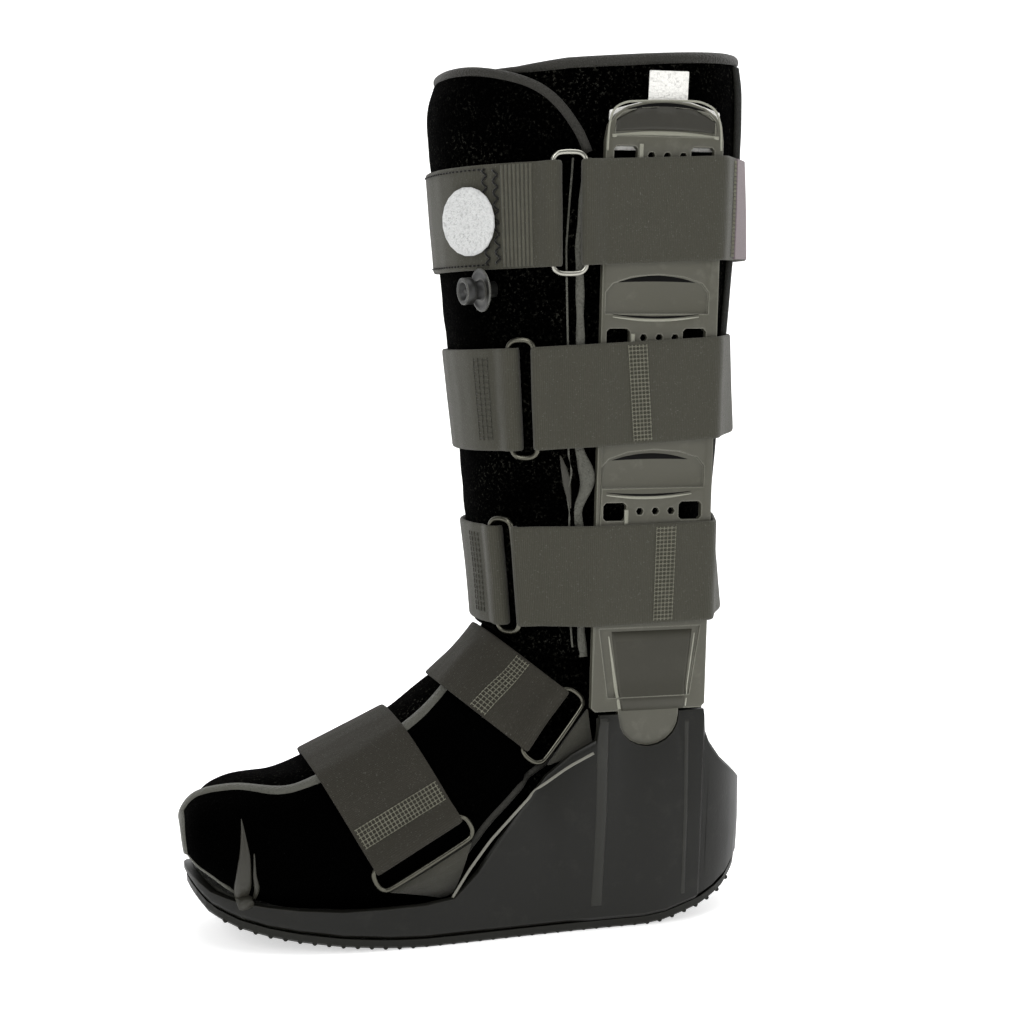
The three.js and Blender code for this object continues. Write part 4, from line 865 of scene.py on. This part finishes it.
# a run of short raised stitches between two points of a strap path
def stitchRun(path, ends, pitch, length, thick, zigzag=0.0):
    (s0, a0), (s1, a1) = ends
    count = max(1, int(np.linalg.norm(path.at(s1, a1, 0) - path.at(s0, a0, 0)) * 1000 / pitch))
    parts = []
    for k in range(count):
        f0, f1 = (k + 0.5 - length / 2) / count, (k + 0.5 + length / 2) / count
        off = zigzag if k % 2 else -zigzag
        line = []
        for m, f in enumerate(np.linspace(f0, f1, 4)):
            rise = stitchLook["lift"] + thick * math.sin(math.pi * (m + 0.4) / 3.8) * 0.8
            line.append(path.at(s0 + f * (s1 - s0), a0 + f * (a1 - a0) + off * (m / 1.5 - 1), rise))
        parts.append(tubePoints(line, thick / 1000 * 0.6, path.outward(s0, a0), 0.9, 5))
    return parts


# sewn rows across a strap, with threads between them
def stitchGrid(path, angle, lean, columns, spread, low, high, pitch):
    parts = []
    r = path.radius(angle)
    half = (columns - 1) / 2 * spread / r
    for k in range(columns):
        a = angle + (k - (columns - 1) / 2) * spread / r
        ends = (low, a - lean / r / 2), (high, a + lean / r / 2)
        parts += stitchRun(path, ends, pitch, stitchLook["length"], stitchLook["thick"])
    count = int((high - low) * path.width / pitch)
    for k in range(count):
        f = (k + 0.5) / count
        s, a = low + f * (high - low), angle + (f - 0.5) * lean / r
        line = path.at(s, np.linspace(a - half, a + half, 6), 0.12)
        parts.append(tubePoints(line, stitchLook["crossRadius"], path.outward(s, a), 0.9, 4))
    return parts


def stitchPiece(name, parts, look="stitch"):
    points, faces = joinParts(parts)
    newPiece(name, points, faces, look, uvs=np.zeros((len(points), 2)))


tabLook = {"zigzagStart": 27, "zigzagRows": 2, "zigzagGap": 5.0, "zigzag": 1.1, "stop": 196, "edge": 0.455,
           "dots": (2.6, 0.5, 0.7), "zigzagStitch": (2.7, 0.8, 0.95), "cords": 8, "cordStart": 8.0,
           "cordPitch": 1.75, "cordRadius": 0.0007, "tapeX": 44.5, "tapeTurn": 0.3}


# the top tab is sewn down: dotted edges, a dark zigzag and ribbed cords before its fold
def makeTopTab(path, tabStart, r):
    near, far = tabStart + tabLook["zigzagStart"] / r, math.radians(tabLook["stop"])
    dark = []
    for s in (-tabLook["edge"], tabLook["edge"]):
        dark += stitchRun(path, ((s, near), (s, far - 0.12)), *tabLook["dots"])
    for k in range(tabLook["zigzagRows"]):
        a = near + (k * tabLook["zigzagGap"] - 4) / r
        dark += stitchRun(path, ((-0.45, a), (0.45, a)), *tabLook["zigzagStitch"], tabLook["zigzag"] / r)
    stitchPiece("tabZigzag", dark, "stitchDark")
    cords = []
    for k in range(tabLook["cords"]):
        a = tabStart + (tabLook["cordStart"] + tabLook["cordPitch"] * k) / r
        line = path.at(np.linspace(-0.485, 0.485, 12), a, 0.1)
        cords.append(tubePoints(line, tabLook["cordRadius"], path.outward(0, a), 0.8, 6))
    stitchPiece("tabCords", cords, "cord")
    # tape at the strap's sewn end, on the back corner: a real layer whose pale lilac colour is a painted
    # highlight of light grazing the back
    turn = path.angleAtX(tabLook["tapeX"])
    level = np.array([-0.49, -0.47, -0.3, 0, 0.3, 0.47, 0.49])
    a, s = np.meshgrid(np.linspace(turn, turn - tabLook["tapeTurn"], 12), level, indexing="ij")
    tape = slab(path.at(s, a, 0.75), path.at(s, a, -0.2))
    newPiece("strapEndTapeHighlight", tape[0], tape[1], "strapEndHighlight",
             uvs=np.tile(np.stack([a.ravel() * r / 1000, s.ravel() * 0.05], -1), (2, 1)))


# z is a share of the boot's height, ringX of its length; ring is the slot's width in millimetres;
# grid, the strap's sewn end: x in millimetres, columns and lean
calfStraps = {
    "top": {"z": 0.8192, "rise": 0.045, "ringX": -0.1512, "ring": 20.0, "grid": (42.5, 4, 0),
            "spread": 1.5, "flare": 6.0},
    "middle": {"z": 0.6190, "rise": 0.055, "ringX": -0.2165, "ring": 17.0, "grid": (-9.0, 6, 4.0),
               "spread": 1.8, "flare": 7.4},
    "lower": {"z": 0.4142, "rise": 0.02, "ringX": -0.2320, "ring": 17.0, "grid": (5.5, 6, 0.0),
              "spread": 1.8, "flare": 7.4},
}
calfLook = {"width": 50.0, "middle": -0.06, "farJoin": -0.2, "joinGap": 0.01}
faintRows = {"start": 14, "columns": 4, "spread": 3.0, "low": -0.4, "high": 0.42, "pitch": 2.6}


def ringSpan(path, facts):
    angle = path.angleAtX(facts["ringX"] * bootLength)
    half = (facts["ring"] / 2 + strapLook["ringGap"]) / (path.radius(angle) - strapLook["thickness"])
    return angle, half


def makeCalfStrap(key, facts):
    path = StrapPath(["strap_" + key, "tab_" + key], (-facts["rise"], 1), facts["z"] * bootHeight,
                     calfLook["width"], ("x", calfLook["middle"] * bootLength), (-180, 360),
                     flare=facts["flare"])
    ringAngle, ringHalf = ringSpan(path, facts)
    tabStart = ringAngle + ringHalf
    farJoin, gap = 2 * math.pi - path.angleAtX(calfLook["farJoin"] * bootLength), calfLook["joinGap"]
    strapBand("strapBand_" + key, path, farJoin - 2 * math.pi + gap, ringAngle - ringHalf, False, "strap",
              "strap_" + key)
    strapBand("strapTab_" + key, path, tabStart, farJoin - gap, True, "strap", "tab_" + key)
    r = path.radius(ringAngle)
    if key == "top":
        makeTopTab(path, tabStart, r)
    else:
        # faint sewn rows on the front piece, before its fold
        start, *grid = faintRows.values()
        faint = stitchGrid(path, tabStart + start / r, 0, *grid)
        stitchPiece("tabStitches_" + key, faint, "strap")
    x, columns, lean = facts["grid"]
    sewn = stitchGrid(path, path.angleAtX(x), lean, columns, facts["spread"],
                      -stitchLook["reach"], stitchLook["reach"], stitchLook["calfPitch"])
    stitchPiece("strapStitches_" + key, sewn)
    say("strap " + key)


# grid, the sewn end: radians past the ring, and columns
footStraps = {
    "ankle": {"up": (0.632, 0.775), "level": 0.1176 * bootHeight, "width": 36.0,
              "centre": -0.361 * bootLength, "ringX": -0.164, "ring": 17.0, "grid": (0.72, 5)},
    "forefoot": {"up": (0.872, 0.49), "level": -0.2663 * bootLength, "width": 49.0,
                 "centre": -0.333 * bootLength, "ringX": -0.396, "ring": 17.0, "grid": (0.42, 6)},
}


def makeFootStrap(key, facts):
    path = StrapPath(["strap_" + key], facts["up"], facts["level"], facts["width"],
                     ("along", facts["centre"]), (60, 300))
    ringAngle, ringHalf = ringSpan(path, facts)
    # the foot straps take the darker webbing copy: painted shade on their upturned tops
    strapBand("strapBand_" + key, path, ringAngle + ringHalf, 2 * math.pi - ringAngle + ringHalf, True,
              "strapFootShaded", "strap_" + key)
    turn, columns = facts["grid"]
    sewn = stitchGrid(path, ringAngle + turn, 0, columns, stitchLook["footSpread"],
                      -stitchLook["reach"], stitchLook["reach"], stitchLook["footPitch"])
    stitchPiece("strapStitches_" + key, sewn)
    say("strap " + key)


for key, facts in calfStraps.items():
    makeCalfStrap(key, facts)
for key, facts in footStraps.items():
    makeFootStrap(key, facts)


# copied solids with rounded edges; smooth takes subdivision steps instead
def roundedCopy(node, name, look, slot, bevel=0.5, segments=2, smooth=0, angle=28.0):
    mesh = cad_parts[node].data.copy()
    mesh.name = name
    obj = bpy.data.objects.new(name, mesh)
    bpy.context.scene.collection.objects.link(obj)
    bm = bmesh.new()
    bm.from_mesh(mesh)
    bmesh.ops.remove_doubles(bm, verts=bm.verts, dist=2e-6)
    if smooth:
        bmesh.ops.join_triangles(bm, faces=bm.faces, angle_face_threshold=0.7, angle_shape_threshold=0.9)
    else:
        bmesh.ops.dissolve_limit(bm, angle_limit=math.radians(1.0), verts=bm.verts, edges=bm.edges)
    bm.to_mesh(mesh)
    bm.free()
    if smooth:
        m = obj.modifiers.new("smooth", "SUBSURF")
        m.levels = m.render_levels = smooth
    else:
        m = obj.modifiers.new("round", "BEVEL")
        m.width, m.segments, m.limit_method = bevel / 1000, segments, "ANGLE"
        m.angle_limit = math.radians(angle)
        m.harden_normals = False
    done = bpy.data.meshes.new_from_object(obj.evaluated_get(bpy.context.evaluated_depsgraph_get()))
    obj.modifiers.clear()
    obj.data = done
    done.polygons.foreach_set("use_smooth", [True] * len(done.polygons))
    if not smooth:
        done.set_sharp_from_angle(angle=math.radians(40))
    if slot in ("webbing", "hook"):
        done.uv_layers.new(name="UVMap")
    return finishPiece(obj, look, [node])


rounding = {"strut": (0.7, 3), "anchor": (0.5, 2), "button": (0.3, 2), "hook": (0.5, 2), "insole": (1.6, 4),
            "shell": (0.7, 3), "ring": 2, "insolePadding": 0.5}
for side in ("near", "far"):
    roundedCopy("upright_" + side, "strutMoulded_" + side, "strut", "strut", *rounding["strut"])
for key in ("top", "middle", "lower", "ankle", "forefoot"):
    roundedCopy("ring_" + key, "ringWire_" + key, "steel" if key == "top" else "steelDark", "steel",
                smooth=rounding["ring"])
for key in ("ankle", "ankle_far", "forefoot", "forefoot_far"):
    roundedCopy("anchor_" + key, "anchorWeb_" + key, "anchor", "webbing", *rounding["anchor"])
roundedCopy("pump_button", "pumpButtonCap", "button", "button", *rounding["button"])
roundedCopy("hook_pad", "hookPile", "hook", "hook", *rounding["hook"])
padding = roundedCopy("insole", "insolePadded", "insole", "foam", *rounding["insole"])

# turned valve, radius and height: a thin flange, a slim neck and the open end of the barrel
valveProfile = [(0, -11), (4.0, -11), (4.0, 0), (10.0, 0), (10.5, 0.5), (10.5, 1.3), (9.9, 1.8), (9.0, 1.8),
                (8.5, 0.9), (5.4, 0.8), (4.6, 1.6), (4.3, 8.0), (4.6, 8.6), (6.1, 9.0), (6.5, 9.6),
                (6.5, 16.4), (6.1, 16.9), (4.9, 16.9), (4.3, 16.3), (4.2, 11.0), (1.6, 10.8),
                (1.5, 14.5), (0, 14.6)]
valveLook = {"turn": -12, "length": 0.66, "out": 0.3, "raise": 0.0035, "sides": 48}


def makeValve():
    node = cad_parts["inflation_valve"]
    points = np.array([node.matrix_world @ v.co for v in node.data.vertices])
    middle = points.mean(0)
    # the solid's axis is the normal of its open end, which looks forward
    faces = sorted(node.data.polygons, key=lambda f: -f.area)
    axis = np.array(faces[0].normal)
    for face in faces[:40]:
        if abs(face.normal.z) < 0.3 and abs(face.normal.y) < 0.6 and face.normal.x < -0.5:
            axis = np.array(face.normal)
            break
    c, s = math.cos(math.radians(valveLook["turn"])), math.sin(math.radians(valveLook["turn"]))
    axis = np.array([axis[0] * c - axis[1] * s, axis[0] * s + axis[1] * c, axis[2]])
    along = (points - middle) @ axis
    root, reach = along.min(), along.max() - along.min()
    scale = valveLook["length"] * reach / (max(h for r, h in valveProfile) / 1000)
    side = np.cross(axis, (0, 0, 1))
    side /= np.linalg.norm(side)
    rise = np.cross(side, axis)
    start = points[along < root + 0.1 * reach].mean(0)
    start = start + axis * (root - (start - middle) @ axis + valveLook["out"] * reach)
    start = start + np.array([0, 0, valveLook["raise"]])
    out, count = [], valveLook["sides"]
    for r, h in valveProfile:
        for a in 2 * math.pi * np.arange(count) / count:
            across = side * math.cos(a) + rise * math.sin(a)
            out.append(start + axis * h / 1000 * scale + across * max(r, 0.01) / 1000)
    quads = [(i + k, i + (k + 1) % count, i + count + (k + 1) % count, i + count + k)
             for i in range(0, len(valveProfile) * count - count, count) for k in range(count)]
    newPiece("valveTurned", out, quads, "valve", ["inflation_valve"])


makeValve()
say("hard pieces")

shellPiece = roundedCopy("base_shell", "shellMoulded", "shell", "shell", *rounding["shell"], angle=32.0)
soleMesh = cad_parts["outsole"].data
soleMesh.materials.clear()
soleMesh.materials.append(looks["rubber"])


# details laid on a surface seen from the side: x and z pairs are cast on it from the near or far side
class SideSurface:

    def __init__(self, *objects):
        points, faces = [], []
        for obj in objects:
            base = len(points)
            points += [obj.matrix_world @ v.co for v in obj.data.vertices]
            faces += [tuple(i + base for i in f.vertices) for f in obj.data.polygons]
        self.tree = BVHTree.FromPolygons(points, faces)

    def at(self, x, z, lift=0.0, side=-1):
        x, z = np.broadcast_arrays(np.asarray(x, float), np.asarray(z, float))
        depth = np.full(x.shape, np.nan)
        for i in np.ndindex(x.shape):
            start = toFrame(np.array([x[i], side * 200.0, z[i]]))
            hit = self.tree.ray_cast(Vector(start), Vector((0, -side, 0)), 0.2)
            if hit[0] is not None:
                depth[i] = hit[0].y * 1000
        missing = np.isnan(depth)
        if missing.any():
            depth[missing] = np.nanmedian(depth)
        return np.stack([x, depth + side * lift, z], -1)

    def line(self, pairs, radius, lift=0.0, side=-1, count=40, flat=0.6, sides=8):
        pairs = np.array(pairs, float)
        run = np.concatenate([[0], np.cumsum(np.hypot(*np.diff(pairs, axis=0).T))])
        t = np.linspace(0, run[-1], count)
        x = smoothAlong(np.interp(t, run, pairs[:, 0]), 0, 2)
        z = smoothAlong(np.interp(t, run, pairs[:, 1]), 0, 2)
        middle = smoothAlong(self.at(x, z, lift, side), 0, 2)
        if not np.isscalar(radius):
            radius = np.interp(np.linspace(0, 1, count), np.linspace(0, 1, len(radius)), radius)
        return tubePoints(middle, radius, (0, side, 0), flat, sides)

    # low rounded band along a line of x and z pairs
    def band(self, pairs, halfWidth, height, side=-1, count=50, across=9):
        pairs = np.array(pairs, float)[::-1]
        z = np.linspace(pairs[0, 1], pairs[-1, 1], count)
        x = np.interp(z, pairs[:, 1], pairs[:, 0])
        k = np.linspace(-1, 1, across)
        end = np.clip(np.minimum(np.arange(count), np.arange(count)[::-1]) / 6.0, 0, 1)[:, None]
        rise = height * (1 - k ** 2)[None, :] * end + 0.04
        x2 = x[:, None] + halfWidth * k[None, :]
        z2 = np.repeat(z[:, None], across, 1)
        return slab(self.at(x2, z2, rise, side), self.at(x2, z2, -0.2, side))

    # patch between an upper and a lower edge, each a list of x and z pairs
    def patch(self, upper, lower, lift=0.25, side=-1, count=36, rows=8):
        k = np.linspace(0, 1, count)
        f = np.linspace(0, 1, rows)[:, None]
        edges = [np.array(pairs, float).T for pairs in (upper, lower)]
        (ax, az), (bx, bz) = [[np.interp(k, np.linspace(0, 1, len(v)), v) for v in e] for e in edges]
        x = ax[None, :] * (1 - f) + bx[None, :] * f
        z = az[None, :] * (1 - f) + bz[None, :] * f
        return slab(self.at(x, z, lift, side), self.at(x, z, -0.1, side))


# shallow arc from x0 to x1
def bow(x0, x1, z, rise, count=15):
    k = np.linspace(-1, 1, count)
    return [(x0 + (x1 - x0) * (t + 1) / 2, z + rise * (1 - t * t)) for t in k]


# x and z in boot millimetres; brow, recess and shadow are arcs: two x, a level and a rise;
# panels are top, low and the two sides, postHighlights x and two levels; the recess carries painted shade,
# the shadows are painted, and arch, brow, posts and foot edges carry painted highlights
strutDetails = {
    "arch": [(-26.7, 386), (-26.2, 398), (-23.8, 406.2), (-17.6, 409.3), (2, 410.2), (20, 410.3),
             (28.0, 406.8), (30.6, 399.0), (31.0, 387)],
    "brow": (-24.5, 29.5, 393.0, 1.6),
    "recess": ((-22.5, 28.0, 400.5, 8.6), (-23.5, 29.0, 395.3, 1.0)),
    "recessShadow": ((-17, 22, 405.8, 3.2), (-17, 22, 405.6, 1.0)),
    "panels": ((327.2, 309.0, -25.6, 24.6), (240.8, 222.2, -27.0, 23.0)),
    "postHighlights": ((-9.8, 389.5, 381.0), (-12.2, 299.0, 291.5), (-13.6, 213.0, 205.5)),
    "foot": ([(-19.5, 152), (22.5, 152)], [(-14.0, 112), (18.5, 112)]),
    "footEdges": (([(-21.0, 150), (-15.2, 113)], [0.3, 0.6, 0.9, 0.8]), ([(24.0, 150), (19.6, 113)], 0.35)),
}


def makeStrutDetails(side, key):
    face = SideSurface(bpy.data.objects["strutMoulded_" + key])
    # light gathers the painted highlights on the arch rim, brow, panel ribs, window posts and foot plate
    # edges
    light = [face.line(strutDetails["arch"], 0.55, 0.0, side, 60),
             face.line(bow(*strutDetails["brow"]), [0.8, 1.3, 1.3, 0.8], 0.3, side)]
    # painted shade: darker patch in the recess under the arch top
    dark = [face.patch(*(bow(*edge) for edge in strutDetails["recess"]), 0.2, side)]
    shadow = [face.patch(*(bow(*edge) for edge in strutDetails["recessShadow"]), 0.3, side)]
    for top, low, x0, x1 in strutDetails["panels"]:
        upper, lower = bow(x0 + 6, x1 - 5, top - 3.4, 3.2), bow(x0 + 6, x1 - 5, top - 3.5, 0.5)
        shadow.append(face.patch(upper, lower, 0.12, side))
        shadow.append(face.line(bow(x0 + 3, x1 - 3, low - 0.6, -1.5), [0.2, 0.6, 0.6, 0.2], -0.1, side))
        light.append(face.line(bow(x0 + 3, x1 - 3, low - 1.9, -1.6), [0.2, 0.7, 0.7, 0.2], 0.0, side))
    for x, z0, z1 in strutDetails["postHighlights"]:
        light.append(face.line([(x, z0), (x - 0.1, z1)], 1.1, 0.4, side, 8, 0.5))
    for pairs, radius in strutDetails["footEdges"]:
        light.append(face.line(pairs, radius, 0.0, side, 20, 0.4))
    plate = [face.patch(*strutDetails["foot"], 0.15, side)]
    addPiece("strutHighlights_" + key, light, "strutHighlight")
    addPiece("strutRecessShade_" + key, dark, "strutPaintedShade")
    addPiece("strutFoot_" + key, plate, "strutPlate")
    addPiece("strutShadows_" + key, shadow, "strutShadow")


makeStrutDetails(-1, "near")
makeStrutDetails(1, "far")
say("strut details")

# ridges: line, half width and height; folds: name, line, radii along it, lift, points, flatness, sides
shellDetails = {
    "rim": [(-100.8, 24.0), (-92.2, 37.4), (-81.6, 51.2), (-69.4, 63.7), (-57.7, 75.6), (-43.3, 84.6),
            (-28.9, 92.0)],
    "ridges": (([(-24.2, 109), (-24.3, 60), (-25.4, 30), (-26.0, 13)], 2.9, 0.55),
               ([(20.6, 106), (21.3, 60), (20.9, 15)], 1.1, 0.35)),
    "rimRadius": 0.75, "hemRadius": 1.7, "hemShift": (-3.2, 4.2),
}
toeFolds = (
    ("toePleat", [(-202.0, 67), (-201.0, 50), (-202.0, 30), (-200.6, 25)], [0.3, 1.7, 3.3, 4.3, 3.9],
     -0.2, 40, 0.6, 18),
    ("toePleatSmall", [(-196.8, 51), (-196.6, 40), (-195.2, 33), (-196.2, 26)], [0.3, 0.7, 1.4, 1.0],
     0.1, 30, 0.8, 8),
)
panelFolds = (
    ("panelCrumple", [(-46.5, 240), (-43.0, 228), (-41.0, 214)], [0.3, 1.6, 2.3, 1.4, 0.3], 0.3, 40, 0.6, 10),
)


def makeShellDetails():
    shellFace, clothFace = SideSurface(shellPiece), SideSurface(footFlap, liner)
    ridges, rims, hems = [], [], []
    right, up = shellDetails["hemShift"]
    hemLine = [(x + right, z + up) for x, z in shellDetails["rim"]]
    for side in (-1, 1):
        # ridge bands and the rim line are lighter than the shell: painted highlights
        ridges += [shellFace.band(*ridge, side) for ridge in shellDetails["ridges"]]
        rims.append(shellFace.line(shellDetails["rim"], shellDetails["rimRadius"], 0.0, side, 60))
        hems.append(clothFace.line(hemLine, shellDetails["hemRadius"], 0.4, side, 60, 0.5))
    addPiece("shellRidgeHighlights", ridges, "shellRidgeHighlight")
    addPiece("shellRimHighlightLine", rims, "shellRimHighlight")
    addPiece("linerHem", hems, "binding")


def makeFolds(face, folds):
    for name, pairs, radii, lift, count, flat, sides in folds:
        # the fold tubes are lighter than the cloth: painted highlight
        addPiece(name, [face.line(pairs, radii, lift, -1, count, flat, sides)], "foldHighlight")


makeShellDetails()
makeFolds(SideSurface(footFlap), toeFolds)
makeFolds(SideSurface(frontPanel), panelFolds)

# from and to are shares of the boot's length
lugLook = {"from": -0.72, "to": 0.21, "pitch": 0.0235, "proud": 0.75, "lowest": 1.35,
           "radii": [1.15, 1.3, 1.3], "length": 9, "narrowest": 24}


# tread lugs along the sole's edge; under the rocker ends they stand a little proud
def makeLugs():
    sole = SideSurface(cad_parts["outsole"])
    parts = []
    for side in (-1, 1):
        for x in np.arange(lugLook["from"], lugLook["to"], lugLook["pitch"]) * bootLength:
            start = Vector(toFrame(np.array([x, side * 20.0, -60.0])))
            hit = sole.tree.ray_cast(start, Vector((0, 0, 1)), 0.2)
            if hit[0] is None:
                continue
            z = max(hit[0].z * 1000 + lugLook["proud"], lugLook["lowest"])
            y = sole.at(x, z + 0.9, 0.0, side)[1]
            if not np.isfinite(y) or abs(y) < lugLook["narrowest"]:
                continue
            ends = [(x, y - side * depth, z) for depth in (0.3, 4, lugLook["length"])]
            parts.append(tubePoints(ends, lugLook["radii"], sides=12))
    addPiece("treadLugs", parts, "rubber")


makeLugs()

stageLook = {"size": 4.0, "sweep": 0.9, "white": (0.86, 0.9), "glow": 0.55}


# white floor that sweeps up behind the boot
def makeStage():
    size, sweep = stageLook["size"], stageLook["sweep"]
    mesh = bpy.data.meshes.new("studioFloor")
    line = [(-size, 0.0)] + [(sweep + sweep * math.sin(a), sweep - sweep * math.cos(a))
                             for a in np.linspace(0, math.pi / 2, 16)] + [(2 * sweep, size)]
    points = [(x, y, z) for y, z in line for x in (-size, size)]
    faces = [(2 * i, 2 * i + 1, 2 * i + 3, 2 * i + 2) for i in range(len(line) - 1)]
    mesh.from_pydata(points, [], faces)
    mesh.polygons.foreach_set("use_smooth", [True] * len(mesh.polygons))
    floor = bpy.data.objects.new("studioFloor", mesh)
    bpy.context.scene.collection.objects.link(floor)
    mat, tree, b = newMaterial("studioWhite", 0.95, specular=0.0)
    grain = noiseNode(tree, objectVector(tree), 3, 2, 0.5)
    low, high = ((v, v, v, 1) for v in stageLook["white"])
    tree.links.new(mixColour(tree, grain, low, high), b.inputs["Base Color"])
    setInputs(b, {"Emission Color": (1, 1, 1, 1), "Emission Strength": stageLook["glow"]})
    mesh.materials.append(mat)


# place, height of the point it is aimed at, width and height, power
lights = {
    "keyLight": ((-1.3, -1.5, 1.3), 0.2, (0.9, 1.2), 16.0),
    "fillLight": ((1.5, -1.6, 0.9), 0.2, (1.2, 1.2), 8.0),
    "topLight": ((0.1, -0.2, 1.7), 0.1, (1.4, 1.0), 10.0),
    "rimLight": ((1.4, 0.6, 1.0), 0.2, (0.5, 1.4), 9.0),
}
worldStrength = 0.35


def areaLight(name, place, aim, size, power):
    data = bpy.data.lights.new(name, "AREA")
    data.shape = "RECTANGLE"
    data.size, data.size_y = size
    data.energy = power
    obj = bpy.data.objects.new(name, data)
    bpy.context.scene.collection.objects.link(obj)
    obj.location = place
    obj.rotation_euler = (Vector((0, 0, aim)) - Vector(place)).to_track_quat("-Z", "Y").to_euler()


makeStage()
for name, facts in lights.items():
    areaLight(name, *facts)
world = bpy.data.worlds.new("softWorld")
world.use_nodes = True
setInputs(world.node_tree.nodes["Background"], {"Color": (1, 1, 1, 1), "Strength": worldStrength})
bpy.context.scene.world = world
bpy.context.scene.view_settings.view_transform = "Standard"
bpy.context.scene.view_settings.look = "None"
say("stage and light")
